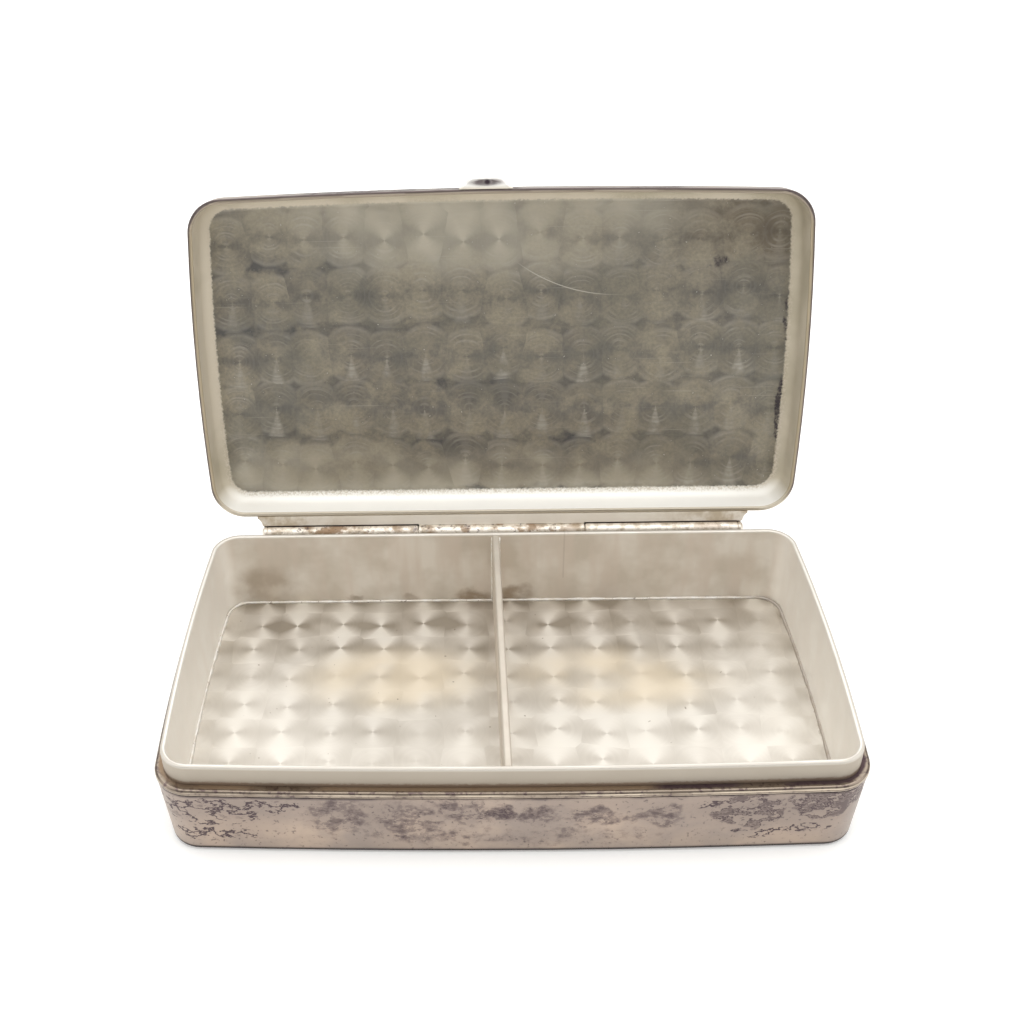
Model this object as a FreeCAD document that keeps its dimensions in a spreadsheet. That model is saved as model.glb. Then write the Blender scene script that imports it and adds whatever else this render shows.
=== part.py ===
import FreeCAD, Part
import math
import os
from enum import IntEnum

import Sketcher
from FreeCAD import Placement, Rotation, Vector

# Silver stamp box: a shallow base with two compartments, and a lid on a three-knuckle back hinge,
# standing open on its stop. Sizes are millimetres and degrees. The origin is the middle of the
# underside, with +X to the right, +Y to the back and +Z up.

SIZES = {
    # Plan of the box at the ledge, where the base and the lid meet
    "box_width": 90.0,
    "box_depth": 49.1,
    "front_bow": 0.95,
    "side_bow": 0.9,
    "corner_radius": 5.0,
    # Base pan and the seat band on top of its wall
    "ledge_height": 11.85,
    "bottom_thickness": 1.0,
    "bottom_edge_radius": 0.8,
    "foot_wall": 0.36,
    "wire_height": 1.0,
    "wire_proud": 0.12,
    "wire_edge_radius": 0.4,
    # Liner, floor plate and divider
    "rim_rise": 3.1,
    "rim_thickness": 0.65,
    "rim_edge_radius": 0.22,
    "floor_thickness": 1.0,
    "floor_clearance": 0.05,
    "divider_thickness": 1.0,
    "divider_offset": 0.62,
    "divider_skew": 0.9,
    "divider_drop": 0.15,
    "divider_edge_radius": 0.3,
    # Lid
    "lid_wall": 0.65,
    "lid_draft": 3.0,
    "lid_headroom": 1.95,
    "lid_cove_radius": 1.65,
    "lid_edge_radius": 0.2,
    "rim_clearance": 0.34,
    "seat_gap": 0.1,
    "lid_open_angle": 104.7,
    # Hinge
    "hinge_length": 72.4,
    "lid_knuckle_length": 25.5,
    "knuckle_gap": 0.12,
    "knuckle_chamfer": 0.12,
    "pin_radius": 0.55,
    "pin_clearance": 0.05,
    "tube_wall": 0.6,
    "hinge_clearance": 0.15,
    "bearer_wall": 0.55,
    "bearer_land": 1.5,
    "flare_radius": 1.5,
    "flare_tip": 0.23,
    "stop_gap_angle": 0.6,
    "plug_head": 0.7,
    "plug_chamfer": 0.35,
    "plug_spigot": 1.0,
    "pin_end_gap": 0.2,
    "solder_film": 0.03,
    # Thumbpiece on the lid's front edge
    "thumb_offset": 1.85,
    "thumb_root_width": 7.6,
    "thumb_tip_width": 3.9,
    "thumb_tip_round": 0.9,
    "thumb_reach": 1.6,
    "thumb_thickness": 1.3,
    "thumb_edge_radius": 0.25,
    "thumb_scoop_length": 4.2,
    "thumb_scoop_depth": 0.45,
    "thumb_scoop_reach": 0.88,
}

# The most of a wall that the rounds on one or on both of its edges may take
ONE_EDGE = 0.9
BOTH_EDGES = 0.45

# Plan expressions
HALF_WIDTH = "(sizes.box_width / 2)"
HALF_DEPTH = "(sizes.box_depth / 2)"
FRONT_RADIUS = f"(({HALF_WIDTH}^2 + sizes.front_bow^2) / (2 * sizes.front_bow))"
SIDE_RADIUS = f"(({HALF_DEPTH}^2 + sizes.side_bow^2) / (2 * sizes.side_bow))"
FRONT_CENTRE = f"({FRONT_RADIUS} - {HALF_DEPTH})"
SIDE_CENTRE = f"({SIDE_RADIUS} - {HALF_WIDTH})"

# Fits between lid, liner, pan and floor, as insets from the plan outline
LINER_INSET = "(sizes.lid_wall + sizes.rim_rise * tan(sizes.lid_draft) + sizes.rim_clearance)"
LINER_SEAT_INSET = f"({LINER_INSET} - sizes.solder_film)"
LINER_INNER_INSET = f"({LINER_INSET} + sizes.rim_thickness)"
FLOOR_INSET = f"({LINER_INNER_INSET} + sizes.floor_clearance)"
FOOT_INSET = f"({LINER_SEAT_INSET} - sizes.foot_wall)"

# Heights
WALL_TOP = "(sizes.ledge_height - sizes.wire_height)"
FLOOR_TOP = "(sizes.bottom_thickness + sizes.floor_thickness)"
RIM_TOP = "(sizes.ledge_height + sizes.rim_rise)"
LID_HEIGHT = "(sizes.rim_rise + sizes.lid_headroom + sizes.lid_wall)"
HOLLOW_HEIGHT = "(sizes.rim_rise + sizes.lid_headroom)"
LID_LEAN = f"({LID_HEIGHT} * tan(sizes.lid_draft))"
HOLLOW_LEAN = f"({HOLLOW_HEIGHT} * tan(sizes.lid_draft))"

# Swept walls reach this far in, short of the corners' centres, and a lapping flat plate fills the rest
SWEEP_SHARE = 0.8
PLATE_SHARE = 0.7
SWEEP_INSET = f"({SWEEP_SHARE} * sizes.corner_radius)"
PLATE_INSET = f"({PLATE_SHARE} * sizes.corner_radius)"
COVE_ROOM = f"({SWEEP_INSET} - sizes.lid_wall - {LID_LEAN})"
COVE_RADIUS = f"min(sizes.lid_cove_radius; {ONE_EDGE} * sizes.lid_headroom; {ONE_EDGE} * {COVE_ROOM})"

# Hinge
BORE_RADIUS = "(sizes.pin_radius + sizes.pin_clearance)"
KNUCKLE_RADIUS = f"({BORE_RADIUS} + sizes.tube_wall)"
SEAT_RADIUS = f"({KNUCKLE_RADIUS} + sizes.solder_film)"
CLEAR_RADIUS = f"({KNUCKLE_RADIUS} + sizes.hinge_clearance)"
BEARER_RADIUS = f"({CLEAR_RADIUS} + sizes.bearer_wall)"
SETBACK = f"({CLEAR_RADIUS} + sizes.bearer_land)"
BEARER_FACE = f"({SETBACK} - sizes.solder_film)"
AXIS_Y = f"({HALF_DEPTH} + {SETBACK})"
AXIS_Z = "(sizes.ledge_height + sizes.seat_gap)"
HALF_BEARER = "(sizes.hinge_length / 2 + sizes.plug_head)"
FLARE_REACH = "(sizes.flare_radius - sqrt(2 * sizes.flare_radius * sizes.flare_tip - sizes.flare_tip^2))"
HALF_FLARED = f"({HALF_BEARER} + {FLARE_REACH})"
OUTER_KNUCKLE = "((sizes.hinge_length - sizes.lid_knuckle_length) / 2 - sizes.knuckle_gap)"
OUTER_START = "(sizes.lid_knuckle_length / 2 + sizes.knuckle_gap)"
STOP_ANGLE = "(90 - sizes.lid_open_angle - sizes.stop_gap_angle)"
LID_FRONT = f"({AXIS_Y} + {HALF_DEPTH})"

doc = FreeCAD.newDocument("stamp_box")
sheet = doc.addObject("Spreadsheet::Sheet", "sizes")
for row, (alias, size) in enumerate(SIZES.items(), start=1):
    sheet.set(f"A{row}", alias)
    sheet.set(f"B{row}", str(size))
    sheet.setAlias(f"B{row}", alias)
doc.recompute()

TOUCH = 1e-6
sub_parts = []


class SketchAxis(IntEnum):
    """A sketch's own axes, as its constraints number them."""

    X = -1
    Y = -2


class SketchPoint(IntEnum):
    """The point of a line or arc that a sketch constraint takes hold of."""

    START = 1
    END = 2
    CENTRE = 3


X_AXIS, Y_AXIS = SketchAxis
START, END, CENTRE = SketchPoint
ORIGIN_POINT = (X_AXIS, START)
AXIS_OF = {"DistanceX": Y_AXIS, "DistanceY": X_AXIS}


def number(expression):
    """The value of an expression on the sheet."""
    return float(sheet.evalExpression(str(expression)))


def new_body(label):
    """An empty body that becomes the sub-part with this label."""
    body = doc.addObject("PartDesign::Body", label)
    body.Label = label
    sub_parts.append(body)
    return body


def new_sketch(body, name, role, **offset):
    """A sketch on one of the body's origin planes, moved by expressions for x, y or z."""
    sketch = body.newObject("Sketcher::SketchObject", f"{body.Name}_{name}")
    plane = next(item for item in body.Origin.OriginFeatures if item.Role == role)
    sketch.AttachmentSupport = (plane, "")
    sketch.MapMode = "FlatFace"
    for axis, expression in offset.items():
        sketch.setExpression(f"AttachmentOffset.Base.{axis}", expression)
    return sketch


def constrain(sketch, name, expression, kind, *where):
    """A named dimension on the sketch, bound to an expression."""
    index = sketch.addConstraint(Sketcher.Constraint(kind, *where, number(expression)))
    sketch.renameConstraint(index, name)
    sketch.setExpression(f"Constraints.{name}", expression)


def constrain_angle(sketch, name, expression, *where):
    """A named angle on the sketch, bound to an expression in degrees."""
    radians = math.radians(number(expression))
    index = sketch.addConstraint(Sketcher.Constraint("Angle", *where, radians))
    sketch.renameConstraint(index, name)
    sketch.setExpression(f"Constraints.{name}", f"{expression} * 1 deg")


def extrude(body, sketch, kind, length, symmetric=False, backwards=False):
    """A pad or pocket of the sketch over a length given as an expression."""
    feature = body.newObject(f"PartDesign::{kind}", f"{sketch.Name}_{kind.lower()}")
    feature.Profile = sketch
    feature.setExpression("Length", length)
    feature.SideType = "Symmetric" if symmetric else "One side"
    feature.Reversed = backwards
    doc.recompute()
    return feature


def cut_through(body, sketch, length, symmetric=False, backwards=False):
    """A pocket, proved to take metal away."""
    before = body.Shape.Volume
    feature = extrude(body, sketch, "Pocket", length, symmetric, backwards)
    if feature.Shape.Volume > before - TOUCH:
        raise RuntimeError(f"{sketch.Name} cuts nothing")
    return feature


def sweep(body, section, path):
    """A section carried all round an outline."""
    feature = body.newObject("PartDesign::AdditivePipe", f"{section.Name}_sweep")
    feature.Profile = section
    feature.Spine = path
    doc.recompute()
    return feature


def round_edges(body, feature, edges, radius, kind="Fillet"):
    """A fillet or chamfer on the chosen edges of the feature."""
    names = [
        f"Edge{index}"
        for index, edge in enumerate(feature.Shape.Edges, start=1)
        if any(edge.isSame(chosen) for chosen in edges)
    ]
    edging = body.newObject(f"PartDesign::{kind}", f"{feature.Name}_{kind.lower()}")
    edging.Base = (feature, names)
    edging.setExpression("Radius" if kind == "Fillet" else "Size", radius)
    doc.recompute()
    return edging


def flat_faces(shape, axis, level):
    """The flat faces square to an axis (0, 1 or 2) at a level along it."""
    return [
        face
        for face in shape.Faces
        if isinstance(face.Surface, Part.Plane)
        and all(abs(vertex.Point[axis] - level) < TOUCH for vertex in face.Vertexes)
    ]


def corner_centres():
    """Centres of the front and back corner rounds on the right-hand side."""
    corner = number("sizes.corner_radius")
    up = Vector(0, 0, 1)
    front = Part.Circle(Vector(0, number(FRONT_CENTRE), 0), up, number(FRONT_RADIUS) - corner)
    side = Part.Circle(Vector(-number(SIDE_CENTRE), 0, 0), up, number(SIDE_RADIUS) - corner)
    points = [Vector(point.X, point.Y, 0) for point in front.intersect(side)]
    front_corner = max(points, key=lambda point: point.x - point.y)
    back_y = number(HALF_DEPTH) - corner
    back_x = math.sqrt(side.Radius**2 - back_y**2) - number(SIDE_CENTRE)
    return front_corner, Vector(back_x, back_y, 0)


def outline_sketch(body, name, inset, **offset):
    """A sketch of the plan, inset all round: bowed front and sides, straight back, rounded corners."""
    sketch = new_sketch(body, name, "XY_Plane", **offset)
    front_right, back_right = corner_centres()
    front_left = Vector(-front_right.x, front_right.y, 0)
    back_left = Vector(-back_right.x, back_right.y, 0)
    front = Vector(0, number(FRONT_CENTRE), 0)
    right = Vector(-number(SIDE_CENTRE), 0, 0)
    left = -right
    depth = number(inset)
    corner = number("sizes.corner_radius") - depth

    def arc(centre, radius, first, last):
        """An arc about a centre, turning left from one direction to another."""
        begin = math.atan2(first.y, first.x)
        finish = math.atan2(last.y, last.x)
        if finish < begin:
            finish += 2 * math.pi
        return Part.ArcOfCircle(Part.Circle(centre, Vector(0, 0, 1), radius), begin, finish)

    back = Vector(0, 1, 0)
    back_y = number(HALF_DEPTH) - depth
    front_radius = number(FRONT_RADIUS) - depth
    side_radius = number(SIDE_RADIUS) - depth
    pieces = [
        arc(front, front_radius, front_left - front, front_right - front),
        arc(front_right, corner, front_right - front, front_right - right),
        arc(right, side_radius, front_right - right, back_right - right),
        arc(back_right, corner, back_right - right, back),
        Part.LineSegment(Vector(back_right.x, back_y, 0), Vector(back_left.x, back_y, 0)),
        arc(back_left, corner, back, back_left - left),
        arc(left, side_radius, back_left - left, front_left - left),
        arc(front_left, corner, front_left - left, front_left - front),
    ]
    ids = sketch.addGeometry(pieces, False)
    front_id, _, right_id, _, back_id, _, left_id, _ = ids
    for current, following in zip(ids, ids[1:] + ids[:1]):
        sketch.addConstraint(Sketcher.Constraint("Tangent", current, END, following, START))
    sketch.addConstraint(Sketcher.Constraint("PointOnObject", front_id, CENTRE, Y_AXIS))
    sketch.addConstraint(Sketcher.Constraint("PointOnObject", right_id, CENTRE, X_AXIS))
    sketch.addConstraint(Sketcher.Constraint("PointOnObject", left_id, CENTRE, X_AXIS))
    sketch.addConstraint(Sketcher.Constraint("Horizontal", back_id))
    constrain(sketch, "front_y", FRONT_CENTRE, "DistanceY", *ORIGIN_POINT, front_id, CENTRE)
    constrain(sketch, "right_x", SIDE_CENTRE, "DistanceX", right_id, CENTRE, *ORIGIN_POINT)
    constrain(sketch, "left_x", SIDE_CENTRE, "DistanceX", *ORIGIN_POINT, left_id, CENTRE)
    constrain(sketch, "front_r", f"{FRONT_RADIUS} - {inset}", "Radius", front_id)
    constrain(sketch, "right_r", f"{SIDE_RADIUS} - {inset}", "Radius", right_id)
    constrain(sketch, "left_r", f"{SIDE_RADIUS} - {inset}", "Radius", left_id)
    constrain(sketch, "back_y", f"{HALF_DEPTH} - {inset}", "DistanceY", *ORIGIN_POINT, back_id, START)
    for end, corner_id in zip(("front_right", "back_right", "back_left", "front_left"), ids[1::2]):
        constrain(sketch, f"{end}_r", f"sizes.corner_radius - {inset}", "Radius", corner_id)
    doc.recompute()
    return sketch


def add_section(sketch, corners, name="corner"):
    """A closed outline of straight lines; a corner is expressions for its place and its round or None."""
    count = len(corners)
    spots = [Vector(number(across), number(up), 0) for across, up, _ in corners]
    starts, ends, arcs = list(spots), list(spots), {}
    for index, (_, _, radius) in enumerate(corners):
        if radius is None:
            continue
        arriving = (spots[index - 1] - spots[index]).normalize()
        leaving = (spots[(index + 1) % count] - spots[index]).normalize()
        half_turn = arriving.getAngle(leaving) / 2
        size = number(radius)
        ends[index] = spots[index] + arriving * (size / math.tan(half_turn))
        starts[index] = spots[index] + leaving * (size / math.tan(half_turn))
        inward = (arriving + leaving).normalize()
        crown = spots[index] + inward * (size / math.sin(half_turn) - size)
        arcs[index] = Part.Arc(ends[index], crown, starts[index])
    lines = [
        sketch.addGeometry(Part.LineSegment(starts[index], ends[(index + 1) % count]), False)
        for index in range(count)
    ]
    for index, (across, up, radius) in enumerate(corners):
        arriving, leaving = lines[index - 1], lines[index]
        spot = sketch.addGeometry(Part.Point(spots[index]), True)
        if radius is None:
            sketch.addConstraint(Sketcher.Constraint("Coincident", arriving, END, spot, START))
            sketch.addConstraint(Sketcher.Constraint("Coincident", leaving, START, spot, START))
        else:
            arc = sketch.addGeometry(arcs[index], False)
            near, far = (START, END) if is_at(sketch, arc, START, ends[index]) else (END, START)
            sketch.addConstraint(Sketcher.Constraint("Tangent", arriving, END, arc, near))
            sketch.addConstraint(Sketcher.Constraint("Tangent", arc, far, leaving, START))
            sketch.addConstraint(Sketcher.Constraint("PointOnObject", spot, START, arriving))
            sketch.addConstraint(Sketcher.Constraint("PointOnObject", spot, START, leaving))
            constrain(sketch, f"{name}{index}_round", radius, "Radius", arc)
        constrain_place(sketch, f"{name}{index}_across", across, "DistanceX", spot)
        constrain_place(sketch, f"{name}{index}_up", up, "DistanceY", spot)
    doc.recompute()


def is_at(sketch, geometry, end, point):
    """Whether an end of a piece of the sketch lies at the point."""
    return (sketch.getPoint(geometry, end) - point).Length < TOUCH


def constrain_place(sketch, name, expression, kind, spot):
    """Ties a point to the sketch's origin along one axis, on either side of it."""
    if abs(number(expression)) < TOUCH:
        sketch.addConstraint(Sketcher.Constraint("PointOnObject", spot, START, AXIS_OF[kind]))
    elif number(expression) > 0:
        constrain(sketch, name, expression, kind, *ORIGIN_POINT, spot, START)
    else:
        constrain(sketch, name, f"-({expression})", kind, spot, START, *ORIGIN_POINT)


def add_circle(sketch, name, radius):
    """A circle about the sketch's origin."""
    circle = Part.Circle(Vector(0, 0, 0), Vector(0, 0, 1), number(radius))
    index = sketch.addGeometry(circle, False)
    sketch.addConstraint(Sketcher.Constraint("Coincident", index, CENTRE, *ORIGIN_POINT))
    constrain(sketch, name, radius, "Radius", index)


def place(body, x="0", y="0", z="0", axis=None, angle=None):
    """Puts a body at expressions for its place and, with an axis, its turn in degrees."""
    if axis is not None:
        body.Placement = Placement(Vector(), Rotation(axis, number(angle)))
        body.setExpression("Placement.Rotation.Angle", f"{angle} * 1 deg")
    for name, expression in zip("xyz", (x, y, z)):
        body.setExpression(f"Placement.Base.{name}", expression)


def place_on_hinge(body, turns_with_lid):
    """Puts a body that is drawn about the hinge axis, lid shut, where it stands with the lid open."""
    if turns_with_lid:
        place(body, y=AXIS_Y, z=AXIS_Z, axis=Vector(-1, 0, 0), angle="sizes.lid_open_angle")
    else:
        place(body, y=AXIS_Y, z=AXIS_Z)


def across_back(inset, behind="0"):
    """Where an inset of the plan lies on the back's middle line, from an axis behind the middle."""
    return f"({HALF_DEPTH} - {inset} - {behind})"


def make_base_shell():
    """The stamped pan: leaning walls, a rounded foot and a straight-sided inside for the liner."""
    body = new_body("base_shell")
    foot_round = f"min(sizes.bottom_edge_radius; {ONE_EDGE} * sizes.bottom_thickness)"
    section = new_sketch(body, "section", "YZ_Plane")
    add_section(
        section,
        [
            (across_back(SWEEP_INSET), "0", None),
            (across_back(FOOT_INSET), "0", foot_round),
            (across_back("sizes.wire_proud"), WALL_TOP, None),
            (across_back(LINER_SEAT_INSET), WALL_TOP, None),
            (across_back(LINER_SEAT_INSET), "sizes.bottom_thickness", None),
            (across_back(SWEEP_INSET), "sizes.bottom_thickness", None),
        ],
    )
    sweep(body, section, outline_sketch(body, "path", "0"))
    extrude(body, outline_sketch(body, "plate", PLATE_INSET), "Pad", "sizes.bottom_thickness")


def make_ledge_wire():
    """The seat band on the pan's wall, round on its outer edges."""
    body = new_body("ledge_wire")
    edge_round = f"min(sizes.wire_edge_radius; {BOTH_EDGES} * sizes.wire_height)"
    section = new_sketch(body, "section", "YZ_Plane")
    add_section(
        section,
        [
            (across_back(LINER_SEAT_INSET), "0", None),
            (across_back("0"), "0", edge_round),
            (across_back("0"), "sizes.wire_height", edge_round),
            (across_back(LINER_SEAT_INSET), "sizes.wire_height", None),
        ],
    )
    sweep(body, section, outline_sketch(body, "path", "0"))
    place(body, z=WALL_TOP)


def make_inner_rim():
    """The liner band that stands on the bottom and rises above the ledge."""
    body = new_body("inner_rim")
    edge_round = f"min(sizes.rim_edge_radius; {BOTH_EDGES} * sizes.rim_thickness)"
    height = f"({RIM_TOP} - sizes.bottom_thickness)"
    section = new_sketch(body, "section", "YZ_Plane")
    add_section(
        section,
        [
            (across_back(LINER_INNER_INSET), "0", None),
            (across_back(LINER_INSET), "0", None),
            (across_back(LINER_INSET), height, edge_round),
            (across_back(LINER_INNER_INSET), height, edge_round),
        ],
    )
    sweep(body, section, outline_sketch(body, "path", "0"))
    place(body, z="sizes.bottom_thickness")


def make_compartment_floor():
    """The floor plate inside the liner."""
    body = new_body("compartment_floor")
    extrude(body, outline_sketch(body, "plan", FLOOR_INSET), "Pad", "sizes.floor_thickness")
    place(body, z="sizes.bottom_thickness")


def make_divider():
    """The upright plate between the compartments, set a little askew, as it was soldered by hand."""
    body = new_body("divider")
    length = f"(2 * ({HALF_DEPTH} - {FLOOR_INSET}))"
    height = f"({RIM_TOP} - sizes.divider_drop - {FLOOR_TOP})"
    half = "(sizes.divider_thickness / 2)"
    edge_round = f"min(sizes.divider_edge_radius; {BOTH_EDGES} * sizes.divider_thickness)"
    section = new_sketch(body, "section", "XZ_Plane")
    add_section(
        section,
        [
            (f"-{half}", "0", None),
            (half, "0", None),
            (half, height, edge_round),
            (f"-{half}", height, edge_round),
        ],
    )
    extrude(body, section, "Pad", length, symmetric=True)
    place(body, x="-sizes.divider_offset", z=FLOOR_TOP, axis=Vector(0, 0, 1), angle="sizes.divider_skew")


def arc_about_axis(radius, begin_degrees, finish_degrees):
    """An arc about the hinge axis in the hinge's side view."""
    circle = Part.Circle(Vector(0, 0, 0), Vector(0, 0, 1), radius)
    return Part.ArcOfCircle(circle, math.radians(begin_degrees), math.radians(finish_degrees))


def flare_ends(body):
    """Hollows both ends of a bearer, so that it flares out where it meets its wall."""
    reach = f"(2 * {BEARER_RADIUS})"
    sketch = new_sketch(body, "flare", "XY_Plane", z=f"-{reach}")
    for name, sign in (("right", ""), ("left", "-")):
        near = f"{sign}{HALF_BEARER}"
        far = f"{sign}({HALF_BEARER} + {reach})"
        corners = [
            (near, f"-{BEARER_FACE}", "sizes.flare_radius"),
            (far, f"-{BEARER_FACE}", None),
            (far, reach, None),
            (near, reach, None),
        ]
        add_section(sketch, corners, name)
    cut_through(body, sketch, f"2 * {reach}", backwards=True)


def make_base_hinge_bearer():
    """The trough under the knuckles: a land on the back wall, wrapping round behind to the stop."""
    body = new_body("base_hinge_bearer")
    sketch = new_sketch(body, "section", "YZ_Plane")
    seat = number(SEAT_RADIUS)
    outer = number(BEARER_RADIUS)
    face = number(BEARER_FACE)
    gap = number("sizes.seat_gap")
    stop = number(STOP_ANGLE)
    lip = 180 + math.degrees(math.asin(gap / seat))
    inner_arc = arc_about_axis(seat, lip, 360 + stop)
    outer_arc = arc_about_axis(outer, 270, 360 + stop)
    lip_point = inner_arc.StartPoint
    top_corner = Vector(-face, -gap, 0)
    low_corner = Vector(-face, -outer, 0)
    inner_id, outer_id, stop_id, low_id, face_id, top_id = sketch.addGeometry(
        [
            inner_arc,
            outer_arc,
            Part.LineSegment(inner_arc.EndPoint, outer_arc.EndPoint),
            Part.LineSegment(outer_arc.StartPoint, low_corner),
            Part.LineSegment(low_corner, top_corner),
            Part.LineSegment(top_corner, lip_point),
        ],
        False,
    )
    for arc_id in (inner_id, outer_id):
        sketch.addConstraint(Sketcher.Constraint("Coincident", arc_id, CENTRE, *ORIGIN_POINT))
    sketch.addConstraint(Sketcher.Constraint("Coincident", inner_id, END, stop_id, START))
    sketch.addConstraint(Sketcher.Constraint("Coincident", stop_id, END, outer_id, END))
    sketch.addConstraint(Sketcher.Constraint("PointOnObject", *ORIGIN_POINT, stop_id))
    sketch.addConstraint(Sketcher.Constraint("Tangent", outer_id, START, low_id, START))
    sketch.addConstraint(Sketcher.Constraint("Horizontal", low_id))
    sketch.addConstraint(Sketcher.Constraint("Coincident", low_id, END, face_id, START))
    sketch.addConstraint(Sketcher.Constraint("Vertical", face_id))
    sketch.addConstraint(Sketcher.Constraint("Coincident", face_id, END, top_id, START))
    sketch.addConstraint(Sketcher.Constraint("Horizontal", top_id))
    sketch.addConstraint(Sketcher.Constraint("Coincident", top_id, END, inner_id, START))
    constrain(sketch, "seat", SEAT_RADIUS, "Radius", inner_id)
    constrain(sketch, "outer", BEARER_RADIUS, "Radius", outer_id)
    constrain(sketch, "face", BEARER_FACE, "DistanceX", face_id, END, *ORIGIN_POINT)
    constrain(sketch, "gap", "sizes.seat_gap", "DistanceY", face_id, END, *ORIGIN_POINT)
    constrain_angle(sketch, "stop", STOP_ANGLE, stop_id)
    extrude(body, sketch, "Pad", f"2 * {HALF_FLARED}", symmetric=True)
    flare_ends(body)
    clearing = new_sketch(body, "clearing", "YZ_Plane")
    add_circle(clearing, "clear", CLEAR_RADIUS)
    cut_through(body, clearing, f"2 * {OUTER_START}", symmetric=True)
    place_on_hinge(body, turns_with_lid=False)


def make_lid_hinge_bearer():
    """The strip on the lid's back wall, hollowed over the knuckles. Its back end meets the stop."""
    body = new_body("lid_hinge_bearer")
    sketch = new_sketch(body, "section", "YZ_Plane")
    seat = number(SEAT_RADIUS)
    outer = number(BEARER_RADIUS)
    face = number(BEARER_FACE)
    lean = number(f"{BEARER_RADIUS} * tan(sizes.lid_draft)")
    hollow = arc_about_axis(seat, 90, 180)
    low_corner = Vector(-face, 0, 0)
    top_corner = Vector(-face - lean, outer, 0)
    back_corner = Vector(0, outer, 0)
    hollow_id, low_id, face_id, top_id, stop_id = sketch.addGeometry(
        [
            hollow,
            Part.LineSegment(hollow.EndPoint, low_corner),
            Part.LineSegment(low_corner, top_corner),
            Part.LineSegment(top_corner, back_corner),
            Part.LineSegment(back_corner, hollow.StartPoint),
        ],
        False,
    )
    sketch.addConstraint(Sketcher.Constraint("Coincident", hollow_id, CENTRE, *ORIGIN_POINT))
    sketch.addConstraint(Sketcher.Constraint("Coincident", hollow_id, END, low_id, START))
    sketch.addConstraint(Sketcher.Constraint("Coincident", low_id, END, face_id, START))
    sketch.addConstraint(Sketcher.Constraint("Coincident", face_id, END, top_id, START))
    sketch.addConstraint(Sketcher.Constraint("Coincident", top_id, END, stop_id, START))
    sketch.addConstraint(Sketcher.Constraint("Coincident", stop_id, END, hollow_id, START))
    sketch.addConstraint(Sketcher.Constraint("PointOnObject", low_id, START, X_AXIS))
    sketch.addConstraint(Sketcher.Constraint("Horizontal", low_id))
    sketch.addConstraint(Sketcher.Constraint("Horizontal", top_id))
    sketch.addConstraint(Sketcher.Constraint("PointOnObject", stop_id, END, Y_AXIS))
    sketch.addConstraint(Sketcher.Constraint("Vertical", stop_id))
    constrain(sketch, "seat", SEAT_RADIUS, "Radius", hollow_id)
    constrain(sketch, "height", BEARER_RADIUS, "DistanceY", *ORIGIN_POINT, stop_id, START)
    constrain(sketch, "face", BEARER_FACE, "DistanceX", low_id, END, *ORIGIN_POINT)
    constrain_angle(sketch, "draft", "(90 + sizes.lid_draft)", face_id)
    extrude(body, sketch, "Pad", f"2 * {HALF_FLARED}", symmetric=True)
    flare_ends(body)
    for name, backwards in (("right", True), ("left", False)):
        start = "sizes.lid_knuckle_length / 2"
        clearing = new_sketch(body, f"clear_{name}", "YZ_Plane", z=start if backwards else f"-{start}")
        add_circle(clearing, "clear", CLEAR_RADIUS)
        cut_through(body, clearing, HALF_BEARER, backwards=backwards)
    place_on_hinge(body, turns_with_lid=True)


def make_knuckle(label, length, start, turns_with_lid):
    """A hinge tube that starts at a place along the axis."""
    body = new_body(label)
    sketch = new_sketch(body, "ring", "YZ_Plane", z=start)
    add_circle(sketch, "outside", KNUCKLE_RADIUS)
    add_circle(sketch, "bore", BORE_RADIUS)
    tube = extrude(body, sketch, "Pad", length)
    outside = number(KNUCKLE_RADIUS)
    ends = [edge for edge in tube.Shape.Edges if edge.Closed and abs(edge.Curve.Radius - outside) < TOUCH]
    chamfer = f"min(sizes.knuckle_chamfer; {BOTH_EDGES} * sizes.tube_wall)"
    round_edges(body, tube, ends, chamfer, kind="Chamfer")
    place_on_hinge(body, turns_with_lid)


def make_hinge_pin():
    """The wire through the knuckles, between the two plugs."""
    body = new_body("hinge_pin")
    sketch = new_sketch(body, "section", "YZ_Plane")
    add_circle(sketch, "outside", "sizes.pin_radius")
    length = "sizes.hinge_length - 2 * (sizes.plug_spigot + sizes.pin_end_gap)"
    extrude(body, sketch, "Pad", length, symmetric=True)
    place_on_hinge(body, turns_with_lid=False)


def make_hinge_plug(label, side):
    """A plug that closes a tube end: a chamfered head on the tube and a spigot in its bore."""
    body = new_body(label)
    end = f"{side} * sizes.hinge_length / 2"
    backwards = side < 0
    head_sketch = new_sketch(body, "head", "YZ_Plane", z=end)
    add_circle(head_sketch, "outside", KNUCKLE_RADIUS)
    extrude(body, head_sketch, "Pad", "sizes.plug_head", backwards=backwards)
    spigot_sketch = new_sketch(body, "spigot", "YZ_Plane", z=end)
    add_circle(spigot_sketch, "outside", f"{BORE_RADIUS} - sizes.solder_film")
    plug = extrude(body, spigot_sketch, "Pad", "sizes.plug_spigot", backwards=not backwards)
    outer_end = number(f"{end} + {side} * sizes.plug_head")
    edges = [edge for face in flat_faces(plug.Shape, 0, outer_end) for edge in face.Edges]
    round_edges(body, plug, edges, f"min(sizes.plug_chamfer; {ONE_EDGE} * sizes.plug_head)", kind="Chamfer")
    place_on_hinge(body, turns_with_lid=False)


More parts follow.
